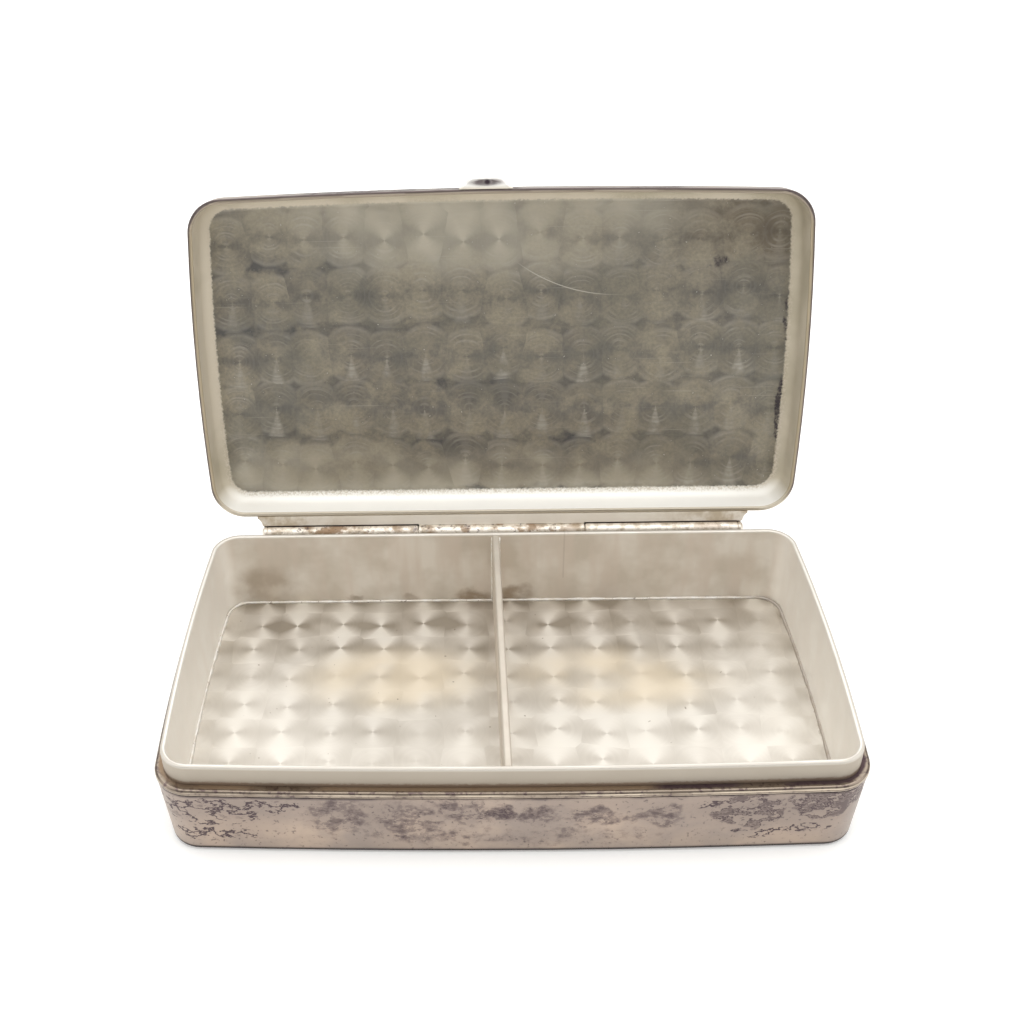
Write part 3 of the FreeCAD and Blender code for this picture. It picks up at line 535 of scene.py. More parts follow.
@dataclass(frozen=True)
class StampedSilver:
    """Stamped silver, long unpolished: pinkish beige sheen under ragged tarnish, with painted shade at its
    foot.
    """

    name: str = "stamped_tarnished_silver"
    warm: str = "B9A798"
    cool: str = "A2958C"
    haze: str = "8E827B"
    stain: str = "584C50"
    # The colour of the painted shade at the wall's foot
    dirt: str = "4C4245"
    sole: str = "2A2426"
    roughness: float = 0.36
    stain_roughness: float = 0.22
    foot_roughness: float = 0.6
    relief: Relief = Relief(0.3, 0.03)
    tone_height: float = 4.0
    tone: Grain = Grain(8.0, 6.0, 0.62)
    speck: Grain = Grain(0.5, 2.0)
    elsewhere: Grain = Grain(15.0, 2.0)
    shift_ramp: Ramp = (0.38, 0.62, 0.0, 1.0)
    haze_ramp: Ramp = (0.4, 0.6, 0.0, 0.25)
    upper_ramp: Ramp = (4.5, 9.5, 0.0, 0.4)
    front_ramp: Ramp = (-19.0, -21.5, 0.0, 1.0)
    elsewhere_ramp: Ramp = (0.44, 0.62, 0.0, 0.9)
    speck_ramp: Ramp = (0.63, 0.72, 0.0, 0.55)
    foot_ramp: Ramp = (0.6, 1.1, 1.0, 0.0)
    under_ramp: Ramp = (-0.95, -0.8, 0.0, 1.0)
    top_ramp: Ramp = (10.35, 10.8, 0.0, 0.75)
    top_tone_ramp: Ramp = (0.44, 0.56, 0.15, 1.0)
    clouds: Tuple[Patch, ...] = (
        Patch((-36.0, 0.0, 7.2), (9.0, 0.0, 4.4), 0.35),
        Patch((-11.0, 0.0, 7.2), (9.0, 0.0, 4.0), 0.25),
        Patch((34.0, 0.0, 7.6), (11.0, 0.0, 4.0), 0.35),
    )
    all_round: Tarnish = Tarnish()
    front_stains: Tuple[Tarnish, ...] = (
        Tarnish(
            Grain(2.9, 5.0, 0.62),
            Grain(1.7, 3.0),
            line_ramp=(0.01, 0.042, 1.0, 0.0),
            fill_ramp=(0.6, 0.68, 0.0, 0.4),
            spread_ramp=(0.5, 0.6, 0.0, 1.0),
            patches=(
                Patch((-37.0, 0.0, 8.2), (8.0, 0.0, 3.2)),
                Patch((-29.5, 0.0, 8.9), (4.4, 0.0, 2.0), 0.95),
                Patch((-37.0, 0.0, 3.7), (6.6, 0.0, 1.4), 0.95),
                Patch((24.4, 0.0, 9.2), (2.0, 0.0, 1.0), 0.9),
                Patch((31.0, 0.0, 3.5), (5.0, 0.0, 1.1), 0.8),
                Patch((37.5, 0.0, 4.6), (4.0, 0.0, 1.1), 0.8),
            ),
        ),
        Tarnish(
            Grain(1.8, 5.0, 0.68),
            Grain(2.2, 5.0, 0.66),
            ragged_reach=6.0,
            breakup_share=2.0,
            line_ramp=(0.0, 0.04, 0.6, 0.0),
            fill_ramp=(0.44, 0.62, 0.1, 0.8),
            spread_ramp=(0.3, 0.95, 0.0, 0.95),
            patches=(
                Patch((-21.5, 0.0, 7.4), (5.6, 0.0, 4.4), 0.85),
                Patch((-12.5, 0.0, 6.4), (5.6, 0.0, 4.6), 0.95),
                Patch((-5.0, 0.0, 8.2), (5.0, 0.0, 3.0), 0.95),
                Patch((3.0, 0.0, 7.6), (4.2, 0.0, 2.6), 0.9),
                Patch((10.6, 0.0, 7.0), (4.2, 0.0, 2.5), 1.0),
                Patch((18.0, 0.0, 7.2), (5.2, 0.0, 2.4), 0.9),
                Patch((0.0, 0.0, 3.4), (24.0, 0.0, 2.0), 0.6),
            ),
        ),
        Tarnish(
            Grain(0.9, 5.0, 0.7),
            Grain(1.1, 5.0, 0.75),
            ragged_reach=4.0,
            breakup_share=1.8,
            fill_ramp=(0.3, 0.55, 0.35, 1.0),
            spread_ramp=(0.3, 1.15, 0.0, 0.95),
            patches=(Patch((-1.2, 0.0, 8.3), (2.2, 0.0, 1.5)),),
        ),
        Tarnish(
            patches=(
                Patch((28.9, 0.0, 7.8), (5.8, 0.0, 3.8), 1.05),
                Patch((38.6, 0.0, 8.8), (6.0, 0.0, 3.0), 1.05),
            ),
        ),
    )

    def material(self) -> bpy.types.Material:
        """Makes the material.

        Returns:
            The material.
        """
        bench = NodeBench(self.name)
        place = bench.place()
        axes = bench.add("SeparateXYZ", place)
        height = axes.outputs["Z"]
        tone = bench.add("TexNoise", named=self.tone.at(place))
        elsewhere = bench.add("TexNoise", named=self.elsewhere.at(place))
        patchy = bench.add("MapRange", elsewhere, *self.elsewhere_ramp, **SMOOTH)
        stain: Value = 0.0
        for tarnish in self.front_stains:
            stain = bench.add("Math", stain, tarnish.lay(bench, place), **HIGHEST)
        front = bench.add("MapRange", axes.outputs["Y"], *self.front_ramp, **SMOOTH)
        stain = bench.add("Mix", front, self.all_round.lay(bench, place, patchy), stain)
        haze = bench.add("MapRange", elsewhere, *self.haze_ramp)
        upper = bench.add("MapRange", height, *self.upper_ramp, **SMOOTH)
        haze = bench.add("Math", haze, upper, operation="ADD")
        haze = bench.add("Math", haze, bench.patches(place, self.clouds), operation="ADD", use_clamp=True)
        specks = bench.add("TexNoise", named=self.speck.at(place))
        specks = bench.add("MapRange", specks, *self.speck_ramp)
        # A darker line along the top of the wall, just below the seat band, in the specks' colour
        top = bench.add("MapRange", height, *self.top_ramp, **SMOOTH)
        top = bench.add("Math", top, bench.add("MapRange", tone, *self.top_tone_ramp), **TIMES)
        facing = bench.add("SeparateXYZ", bench.add("TexCoord").outputs["Normal"]).outputs["Z"]
        # Painted shade: a dark, non-metallic band at the foot of the wall, for the contact shadow and the
        # dark that the rounded foot mirrors; the underside is left out
        foot = bench.add("MapRange", height, *self.foot_ramp, **SMOOTH)
        foot = bench.add("Math", foot, bench.add("MapRange", facing, *self.under_ramp), **TIMES)
        colour = bench.coats(
            self.warm,
            (bench.add("MapRange", tone, *self.shift_ramp), self.cool),
            (haze, self.haze),
            (stain, self.stain),
            (bench.add("Math", top, specks, **HIGHEST), self.dirt),
            (foot, self.sole),
        )
        rough = bench.add("Math", stain, self.stain_roughness, self.roughness, **TIMES_PLUS)
        rough = bench.add("Math", foot, self.foot_roughness, rough, **TIMES_PLUS, use_clamp=True)
        bump = bench.add("Math", tone, self.tone_height, stain, **TIMES_PLUS)
        bump = bench.add("Bump", named=self.relief.of(bump))
        return bench.finish(colour, rough, bump, {"Metallic": bench.add("Math", 1.0, foot, **MINUS)})


@dataclass(frozen=True)
class SeatSilver:
    """Drawn silver band, worn bright on its rounded edge, with brown and purple grime and painted shade on
    its flat top, darker along its lower edge.
    """

    name: str = "drawn_silver_seat_band"
    bright: str = "C8BBA9"
    dull: str = "776A60"
    brown: str = "A08A72"
    purple: str = "503F47"
    roughness: float = 0.3
    grime_roughness: float = 0.3
    relief: Relief = Relief(0.3, 0.03)
    along: Grain = Grain(9.0, 3.0, 0.6)
    fleck: Grain = Grain(0.7, 3.0)
    # Real drawing lines are finer than the render shows, so they are drawn coarser
    line: Grain = Grain(0.22, 2.0)
    wavy_reach: float = 0.3
    line_ramp: Ramp = (0.42, 0.56, 0.0, 0.85)
    worn_ramp: Ramp = (0.4, 0.6, 0.0, 0.85)
    grime_and_shade_ramp: Ramp = (0.55, 0.85, 0.0, 0.85)
    top_ramp: Ramp = (11.5, 11.75, 0.0, 1.0)
    fleck_ramp: Ramp = (0.52, 0.62, 0.0, 0.8)
    under_ramp: Ramp = (10.95, 11.15, 1.0, 0.0)
    purple_ramp: Ramp = (16.0, 19.0, 0.0, 1.0)
    clean: Tuple[Patch, ...] = (
        Patch((-27.5, -23.0, 0.0), (4.6, 4.0, 0.0), 0.85),
        Patch((30.6, -23.0, 0.0), (3.4, 4.0, 0.0), 0.8),
        Patch((-41.0, -23.0, 0.0), (3.0, 4.0, 0.0), 0.5),
    )

    def material(self, outline: Outline) -> bpy.types.Material:
        """Makes the material.

        Args:
            outline: The box's own outline.

        Returns:
            The material.
        """
        bench = NodeBench(self.name)
        place = bench.place()
        axes = bench.add("SeparateXYZ", place)
        height = axes.outputs["Z"]
        along = bench.add("TexNoise", named=self.along.at(place))
        fleck = bench.add("TexNoise", named=self.fleck.at(place))
        lines = bench.add("TexNoise", named=self.line.along(height), noise_dimensions="1D")
        lines = bench.add("MapRange", lines, *self.line_ramp)
        worn = bench.add("MapRange", along, *self.worn_ramp)
        worn = bench.add("Math", worn, lines, **HIGHEST)
        flecks = bench.add("MapRange", fleck, *self.fleck_ramp)
        flecks = bench.add("Math", flecks, worn, **TIMES)
        # Grime and painted shade on the flat top, strongest next to the liner, where the rim shades it; a
        # darker line along the lower edge
        wavy = bench.add("Math", fleck, self.wavy_reach, bench.inset(place, outline), **TIMES_PLUS)
        grime = bench.add("MapRange", wavy, *self.grime_and_shade_ramp, **SMOOTH)
        grime = bench.add("Math", grime, bench.add("MapRange", height, *self.top_ramp, **SMOOTH), **TIMES)
        under = bench.add("MapRange", height, *self.under_ramp, **SMOOTH)
        grime = bench.add("Math", grime, under, **HIGHEST)
        kept = bench.add("Math", 1.0, bench.patches(place, self.clean), **MINUS)
        grime = bench.add("Math", grime, kept, **TIMES)
        right = bench.add("MapRange", axes.outputs["X"], *self.purple_ramp, **SMOOTH)
        grime_and_shade_colour = bench.coats(self.brown, (right, self.purple))
        colour = bench.coats(self.bright, (worn, self.dull), (flecks, self.purple), (grime, grime_and_shade_colour))
        rough = bench.add("Math", grime, self.grime_roughness, self.roughness, **TIMES_PLUS)
        return bench.finish(colour, rough, bench.add("Bump", named=self.relief.of(fleck)))


@dataclass(frozen=True)
class LinerSilver:
    """Rolled silver strip, lightly wiped: soft grey-cream sheen, painted lighter on its end walls and top
    edge, with grime and painted shade in the groove under its rim, stained at its foot and by the divider.
    """

    name: str = "rolled_silver_strip_liner"
    plain: str = "F0EBE3"
    pink: str = "E4DACF"
    grey: str = "DDD5C9"
    outside: str = "B6ADA0"
    # The colour of the painted light on the end walls and top edge
    worn: str = "FFFEFA"
    stain: str = "9A866F"
    dark: str = "8A7868"
    roughness: float = 0.6
    tone_roughness: float = 0.2
    metallic: float = 0.7
    relief: Relief = Relief(0.35, 0.05)
    tone: Grain = Grain(7.0, 3.0)
    streak: Grain = Grain(2.4, 2.0)
    fleck: Grain = Grain(0.55, 4.0, 0.65)
    smear: Grain = Grain(3.6, 4.0, 0.58)
    streak_stretch: Point = (1.0, 1.0, 0.16)
    ragged_reach: float = 3.0
    groove_wave: float = -0.5
    shift_ramp: Ramp = (0.4, 0.62, 0.0, 1.0)
    streak_ramp: Ramp = (0.42, 0.66, 0.0, 0.75)
    outer_ramp: Ramp = (1.55, 1.4, 0.0, 1.0)
    groove_ramp: Ramp = (11.9, 12.35, 0.9, 0.0)
    top_ramp: Ramp = (14.5, 14.8, 0.0, 0.3)
    end_ramp: Ramp = (40.6, 42.4, 0.0, 0.62)
    foot_ramp: Ramp = (2.05, 2.75, 0.1, 0.0)
    smear_ramp: Ramp = (0.34, 0.62, 0.35, 1.0)
    stains: Tuple[Patch, ...] = (
        Patch((-36.0, 22.5, 5.0), (5.4, 7.0, 4.0), 0.42),
        Patch((-4.4, 22.5, 2.6), (3.4, 5.0, 1.9), 0.8),
        Patch((2.4, 22.5, 2.9), (2.8, 5.0, 2.3), 0.8),
        Patch((-23.0, 22.5, 2.7), (1.5, 4.0, 0.9), 0.6),
        Patch((-14.0, 22.5, 2.7), (1.4, 4.0, 0.8), 0.4),
    )
    seam_x: float = 9.35
    seam_foot: float = 6.4
    seam_half: float = 0.17
    seam_core: float = 0.3
    seam_strength: float = 0.16

    def seam(self, bench: NodeBench, axes: Node) -> Node:
        """Adds the nodes of the upright seam in the band's back.

        Args:
            bench: The material.
            axes: The point, taken apart.

        Returns:
            The node that gives the seam's strength.
        """
        way = bench.add("Math", axes.outputs["X"], self.seam_x, **MINUS)
        way = bench.add("Math", way, **UNSIGNED)
        core = self.seam_half * self.seam_core
        seam = bench.add("MapRange", way, self.seam_half, core, 0.0, self.seam_strength)
        for axis, limit in (("Y", 0.0), ("Z", self.seam_foot)):
            past = bench.add("Math", axes.outputs[axis], limit, **ABOVE)
            seam = bench.add("Math", seam, past, **TIMES)
        return seam

    def material(self, outline: Outline) -> bpy.types.Material:
        """Makes the material.

        Args:
            outline: The box's own outline.

        Returns:
            The material.
        """
        bench = NodeBench(self.name)
        place = bench.place()
        axes = bench.add("SeparateXYZ", place)
        height = axes.outputs["Z"]
        tone = bench.add("TexNoise", named=self.tone.at(place))
        stretched = bench.add("VectorMath", place, self.streak_stretch, **TIMES)
        streak = bench.add("TexNoise", named=self.streak.at(stretched))
        fleck = bench.add("TexNoise", named=self.fleck.at(place))
        outer = bench.add("MapRange", bench.inset(place, outline), *self.outer_ramp)
        # Painted light: the end walls are painted lighter and the top edge gets a painted highlight, in the
        # worn colour
        across = bench.add("Math", axes.outputs["X"], **UNSIGNED)
        ends = bench.add("MapRange", across, *self.end_ramp, **SMOOTH)
        ends = bench.add("Math", ends, bench.add("Math", 1.0, outer, **MINUS), **TIMES)
        worn = bench.add("Math", ends, bench.add("MapRange", height, *self.top_ramp), **HIGHEST)
        # Grime and painted shade in the groove on the outside, where the band goes down into the seat band;
        # inside, a little darker towards the foot
        ragged_height = bench.add("Math", fleck, self.groove_wave, height, **TIMES_PLUS)
        groove = bench.add("MapRange", ragged_height, *self.groove_ramp, **SMOOTH)
        foot = bench.add("MapRange", height, *self.foot_ramp, **SMOOTH)
        grime = bench.add("Mix", outer, foot, groove)
        smear = bench.add("TexNoise", named=self.smear.at(place))
        smear = bench.add("MapRange", smear, *self.smear_ramp, **SMOOTH)
        stains = bench.patches(bench.warped(place, self.smear, self.ragged_reach), self.stains)
        seam = self.seam(bench, axes)
        colour = bench.coats(
            self.plain,
            (bench.add("MapRange", tone, *self.shift_ramp), self.grey),
            (bench.add("MapRange", streak, *self.streak_ramp), self.pink),
            (outer, self.outside),
            (worn, self.worn),
            (bench.add("Math", stains, smear, **TIMES), self.stain),
            (bench.add("Math", grime, seam, **HIGHEST), self.dark),
        )
        smoothest = self.roughness - self.tone_roughness / 2
        rough = bench.add("Math", tone, self.tone_roughness, smoothest, **TIMES_PLUS)
        bump = bench.add("Math", seam, -1.0, streak, **TIMES_PLUS)
        bump = bench.add("Bump", named=self.relief.of(bump))
        return bench.finish(colour, rough, bump, {"Metallic": self.metallic})


@dataclass(frozen=True)
class HingeSilver:
    """Drawn silver tube, rubbed bright where it turns, lumpy and brown with old dirt at its left, with a
    painted shadow line where the outer tubes meet the bearer.
    """

    name: str = "drawn_silver_hinge_tube"
    bright: str = "F1EADF"
    plain: str = "B9AC9A"
    brown: str = "957758"
    crease_shadow: str = "4A3438"
    dark: str = "57464A"
    roughness: float = 0.4
    dirt_roughness: float = 0.3
    metallic: float = 0.8
    relief: Relief = Relief(0.6, 0.09)
    pit_height: float = -0.5
    tone: Grain = Grain(1.5, 4.0, 0.6)
    pit: Grain = Grain(0.8, 4.0, 0.65)
    dirt: Grain = Grain(3.4, 4.0, 0.65)
    tone_ramp: Ramp = (0.36, 0.56, 0.0, 1.0)
    pit_ramp: Ramp = (0.57, 0.66, 0.0, 0.9)
    dirt_ramp: Ramp = (0.46, 0.58, 0.0, 0.85)
    crease_ramp: Ramp = (27.48, 27.6, 0.0, 0.95)
    crease_end: Ramp = (27.8, 28.1, 1.0, 0.15)
    middle_half: float = 12.8
    dirty_patches: Tuple[Patch, ...] = (
        Patch((-24.5, 0.0, 0.0), (11.0, 0.0, 0.0)),
        Patch((-10.5, 0.0, 0.0), (4.5, 0.0, 0.0), 0.9),
        Patch((0.0, 0.0, 0.0), (13.0, 0.0, 0.0), 0.9),
        Patch((31.5, 0.0, 0.0), (4.0, 0.0, 0.0), 0.4),
    )

    def material(self) -> bpy.types.Material:
        """Makes the material.

        Returns:
            The material.
        """
        bench = NodeBench(self.name)
        place = bench.place()
        axes = bench.add("SeparateXYZ", place)
        tone = bench.add("TexNoise", named=self.tone.at(place))
        dirty = bench.patches(place, self.dirty_patches)
        dirt = bench.add("TexNoise", named=self.dirt.at(place))
        dirt = bench.add("MapRange", dirt, *self.dirt_ramp, **SMOOTH)
        dirt = bench.add("Math", dirt, dirty, **TIMES)
        pits = bench.add("TexNoise", named=self.pit.at(place))
        pits = bench.add("MapRange", pits, *self.pit_ramp)
        pits = bench.add("Math", pits, dirty, **TIMES)
        across = bench.add("Math", axes.outputs["X"], **UNSIGNED)
        outer = bench.add("Math", across, self.middle_half, **ABOVE)
        # Painted shadow: a dark band on the outer tubes in the crease against the bearer
        crease_shadow = bench.add("MapRange", axes.outputs["Y"], *self.crease_ramp)
        shown = bench.add("MapRange", axes.outputs["Y"], *self.crease_end)
        for share in (outer, shown):
            crease_shadow = bench.add("Math", crease_shadow, share, **TIMES)
        colour = bench.coats(
            self.plain,
            (bench.add("MapRange", tone, *self.tone_ramp), self.bright),
            (dirt, self.brown),
            (pits, self.dark),
            (crease_shadow, self.crease_shadow),
        )
        rough = bench.add("Math", dirt, self.dirt_roughness, self.roughness, **TIMES_PLUS)
        height = bench.add("Math", pits, self.pit_height, tone, **TIMES_PLUS)
        bump = bench.add("Bump", named=self.relief.of(height))
        return bench.finish(colour, rough, bump, {"Metallic": self.metallic})


@dataclass(frozen=True)
class BearerSilver:
    """Rolled silver strip beside a hinge: satin beige, dirty at its ends, tarnished on its outer face."""

    name: str = "rolled_silver_hinge_bearer"
    plain: str = "F6EFE3"
    olive: str = "BBA683"
    outside: str = "A89788"
    outside_dark: str = "7C6E69"
    roughness: float = 0.7
    metallic: float = 0.25
    relief: Relief = Relief(0.3, 0.04)
    tone: Grain = Grain(4.0, 4.0, 0.6)
    end_ramp: Ramp = (20.0, 36.0, 0.1, 0.9)
    dirt_ramp: Ramp = (0.38, 0.6, 0.0, 0.8)
    outward: Point = (0.0, 0.7, -0.7)
    outward_ramp: Ramp = (-0.1, 0.3, 0.0, 1.0)

    def material(self) -> bpy.types.Material:
        """Makes the material.

        Returns:
            The material.
        """
        bench = NodeBench(self.name)
        place = bench.place()
        axes = bench.add("SeparateXYZ", place)
        tone = bench.add("TexNoise", named=self.tone.at(place))
        stain = bench.add("MapRange", tone, *self.dirt_ramp, **SMOOTH)
        across = bench.add("Math", axes.outputs["X"], **UNSIGNED)
        ends = bench.add("MapRange", across, *self.end_ramp, **SMOOTH)
        normal = bench.add("TexCoord").outputs["Normal"]
        facing = bench.add("VectorMath", normal, self.outward, operation="DOT_PRODUCT").outputs["Value"]
        outward = bench.add("MapRange", facing, *self.outward_ramp)
        back = bench.coats(self.outside, (stain, self.outside_dark))
        dirt = bench.add("Math", stain, ends, **TIMES)
        colour = bench.coats(self.plain, (dirt, self.olive), (outward, back))
        bump = bench.add("Bump", named=self.relief.of(tone))
        return bench.finish(colour, self.roughness, bump, {"Metallic": self.metallic})


@dataclass(frozen=True)
class LidSilver:
    """Stamped silver lid: inside dull with turned spots and a satin coved border, outside tarnished."""

    name: str = "stamped_turned_silver_lid"
    olive: str = "A39B89"
    grey: str = "888277"
    cool: str = "7E7B71"
    gap: str = "58585A"
    dull: str = "736655"
    glint: str = "C9C4B9"
    light: str = "C6BFAF"
    cove: str = "D4CBBA"
    low_cove_highlight: str = "FFFEFA"
    brown: str = "B3AB96"
    border: str = "D6CEC0"
    edge_top: str = "A79B8C"
    edge_side: str = "B1A48C"
    edge_dark_reflection: str = "5F5556"
    outside: str = "B9A798"
    outside_cool: str = "A2958C"
    outside_haze: str = "8A7E79"
    rubbed: str = "CFC2B4"
    stain: str = "4B464A"
    roughness: float = 0.42
    cove_roughness: float = 0.65
    outside_roughness: float = 0.34
    stain_roughness: float = 0.22
    cove_metallic: float = 0.35
    anisotropy: float = 0.5
    relief: Relief = Relief(0.3, 0.03)
    fine_height: float = 0.6
    # The turned panel
    spots: TurnedSpots = TurnedSpots(4.3, (5.8, 8.7), 0.22, blur=0.28)
    wobble: Grain = Grain(2.6, 3.0)
    wobble_reach: float = 0.6
    tone: Grain = Grain(12.0, 3.0, 0.55)
    mottle: Grain = Grain(3.2, 6.0, 0.66)
    fine: Grain = Grain(0.5, 3.0, 0.6)
    ragged_reach: float = 3.0
    spot_share: float = 0.16
    bare_share: float = 0.42
    shift_ramp: Ramp = (0.44, 0.74, 0.0, 1.0)
    cool_ramp: Ramp = (0.42, 0.62, 0.0, 0.6)
    dusty_ramp: Ramp = (0.35, 0.65, 0.0, 0.26)
    beside_shade_ramp: Ramp = (0.0, -1.0, 0.0, 0.42)
    gap_ramp: Ramp = (0.0, 1.0, 0.5, 1.0)
    grainy_ramp: Ramp = (0.36, 0.58, 0.25, 1.0)
    lit_tone: Ramp = (0.35, 0.6, 0.45, 1.0)
    lit_bow: Ramp = (-0.7, 0.8, 0.62, 1.0)
    lights: Tuple[Patch, ...] = (
        Patch((-5.0, 50.0, 0.0), (34.0, 12.0, 0.0), 0.95),
        Patch((-26.0, 8.0, 0.0), (20.0, 5.0, 0.0), 0.85),
        Patch((4.0, 7.0, 0.0), (30.0, 5.0, 0.0), 0.85),
    )
    corner_dark: Patch = Patch((40.0, 47.0, 0.0), (16.0, 9.0, 0.0), 0.5)
    gaps: Tuple[Patch, ...] = (
        Patch((-31.0, 40.8, 0.0), (13.0, 2.2, 0.0), 0.8),
        Patch((-35.0, 30.8, 0.0), (10.0, 2.4, 0.0), 0.9),
        Patch((-18.8, 37.0, 0.0), (1.8, 4.0, 0.0), 0.6),
        Patch((-10.0, 20.5, 0.0), (24.0, 3.6, 0.0), 0.95),
        Patch((14.0, 18.0, 0.0), (7.0, 2.4, 0.0), 0.7),
        Patch((-10.0, 12.2, 0.0), (9.0, 2.0, 0.0), 0.8),
        Patch((10.5, 12.2, 0.0), (6.0, 2.4, 0.0), 0.9),
        Patch((10.0, 4.6, 0.0), (26.0, 1.4, 0.0), 0.8),
    )
    smudges: Tuple[Patch, ...] = (
        Patch((42.9, 32.0, 0.0), (1.2, 5.5, 0.0), 0.72),
        Patch((42.7, 17.0, 0.0), (1.2, 6.5, 0.0)),
        Patch((31.5, 40.2, 0.0), (3.8, 1.5, 0.0), 0.56),
    )
    smudge_break: float = 2.0
    smudge_ramp: Ramp = (0.5, 0.75, 0.0, 0.95)
    smudge_fine: Ramp = (0.35, 0.55, 0.35, 1.0)
    # Glints and scratches on the panel; real hair scratches are finer, so they are drawn coarser
    glint_ramp: Ramp = (0.74, 1.0, 0.0, 0.58)
    glint_rings: Ramp = (0.35, 0.7, 0.5, 1.0)
    glint_below: Ramp = (0.3, -0.3, 0.3, 1.0)
    glint_rows: Ramp = (38.0, 24.0, 0.35, 1.0)
    glint_chance: Ramp = (0.0, 0.7, 0.3, 1.0)
    glint_mottle: Ramp = (0.4, 0.58, 0.1, 1.0)
    edge_arc_ramp: Ramp = (3.4, 4.2, 0.0, 0.22)
    edge_arc_bow: Ramp = (-0.5, 0.6, 0.0, 1.0)
    ring_ramp: Ramp = (0.5, 0.64, 0.0, 0.24)
    ring_bow: Ramp = (-0.2, 0.7, 0.2, 1.0)
    dust_ramp: Ramp = (0.69, 0.74, 0.0, 0.9)
    scratch: Grain = Grain(0.5, 1.0)
    scratch_stretch: Point = (0.03, 2.2, 1.0)
    scratch_ramp: Ramp = (0.7, 0.76, 0.0, 0.22)
    arc_half: float = 0.07
    arc_centre: Point = (17.6, 60.3, 0.0)
    arc_radius: float = 24.7
    arc_patch: Patch = Patch((9.0, 37.5, 0.0), (8.6, 4.0, 0.0), 0.75)
    # The coved border and the rim
    stipple: Grain = Grain(0.28, 1.0)
    panel_inset: float = 2.25
    border_wave: float = 0.7
    stipple_ramp: Ramp = (0.42, 0.6, 0.0, 1.0)
    warm_ramp: Ramp = (0.45, 0.65, 0.1, 0.75)
    white_ramp: Ramp = (6.5, 4.0, 0.0, 1.0)
    panel_ramp: Ramp = (-0.12, 0.12, 0.0, 1.0)
    border_ramp: Ramp = (-0.9, -0.2, 0.0, 1.0)
    border_rows: Ramp = (8.0, 40.0, 1.0, 0.3)
    edge_ramp: Ramp = (-0.35, -0.2, 0.0, 1.0)
    edge_top_ramp: Ramp = (45.0, 49.0, 0.0, 1.0)
    edge_dark_reflection_ramp: Ramp = (0.2, 0.36, 0.9, 0.0)
    # The outside; its hairlines are drawn coarser than real ones too
    outside_tone: Grain = Grain(9.0, 6.0, 0.62)
    elsewhere: Grain = Grain(14.0, 2.0)
    tarnish: Tarnish = Tarnish(fill_ramp=(0.46, 0.64, 0.1, 0.7), spread_ramp=(0.36, 0.8, 0.0, 0.85))
    hairline: Grain = Grain(0.45, 2.0)
    hairline_stretch: Point = (0.025, 1.6, 1.0)
    hairline_turns: Tuple[float, ...] = (0.35, -0.6, 1.3)
    hairline_ramp: Ramp = (0.66, 0.74, 0.0, 0.3)
    outside_ramp: Ramp = (0.38, 0.62, 0.0, 1.0)
    haze_ramp: Ramp = (0.36, 0.62, 0.0, 0.75)
    tarnish_ramp: Ramp = (0.42, 0.62, 0.0, 0.9)
    rub_ramp: Ramp = (1.8, 0.5, 0.0, 0.55)
    shoulder_ramp: Ramp = (-4.0, -4.8, 0.0, 1.0)

    def scratches(self, bench: NodeBench, place: Node) -> Tuple[Node, Node]:
        """Adds the nodes of the panel's straight scratches and its one curved scratch.

        Args:
            bench: The material.
            place: The point, in the lid's frame.

        Returns:
            The nodes that give the straight scratches and the curved one.
        """
        long = bench.add("VectorMath", place, self.scratch_stretch, **TIMES)
        straight = bench.add("TexNoise", named=self.scratch.at(long))
        straight = bench.add("MapRange", straight, *self.scratch_ramp)
        way = bench.add("VectorMath", place, self.arc_centre, **MINUS)
        way = bench.add("VectorMath", way, LEVEL, **TIMES)
        reach = bench.add("VectorMath", way, **LENGTH).outputs["Value"]
        off = bench.add("Math", reach, self.arc_radius, **MINUS)
        off = bench.add("Math", off, **UNSIGNED)
        curved = bench.add("Math", off, self.arc_half, operation="LESS_THAN")
        curved = bench.add("Math", curved, bench.patches(place, (self.arc_patch,)), **TIMES)
        return straight, curved

    def glints(self, bench: NodeBench, place: Node, laid: Spots, fine: Node, mottle: Node) -> Node:
        """Adds the nodes of what shines on the panel: the spots' glints and rings, scratches and dust.

        Args:
            bench: The material.
            place: The point, in the lid's frame.
            laid: The turned spots.
            fine: The finest grain.
            mottle: The middle grain.

        Returns:
            The node that gives the shine.
        """
        forward = bench.add("SeparateXYZ", laid["way"]).outputs["Y"]
        along = bench.add("SeparateXYZ", place).outputs["Y"]
        glint = bench.add("MapRange", laid["bow"], *self.glint_ramp, **SMOOTH)
        for part, ramp in (
            (laid["rings"], self.glint_rings),
            (forward, self.glint_below),
            (along, self.glint_rows),
            (laid["chance"], self.glint_chance),
        ):
            glint = bench.add("Math", glint, bench.add("MapRange", part, *ramp), **TIMES)
        for part, ramp, bow_ramp in (
            (laid["reach"], self.edge_arc_ramp, self.edge_arc_bow),
            (laid["rings"], self.ring_ramp, self.ring_bow),
        ):
            mark = bench.add("MapRange", part, *ramp)
            mark = bench.add("Math", mark, laid["cover"], **TIMES)
            mark = bench.add("Math", mark, bench.add("MapRange", laid["bow"], *bow_ramp), **TIMES)
            glint = bench.add("Math", glint, mark, **HIGHEST)
        glint = bench.add("Math", glint, bench.add("MapRange", mottle, *self.glint_mottle), **TIMES)
        for mark in (*self.scratches(bench, place), bench.add("MapRange", fine, *self.dust_ramp)):
            glint = bench.add("Math", glint, mark, **HIGHEST)
        return glint

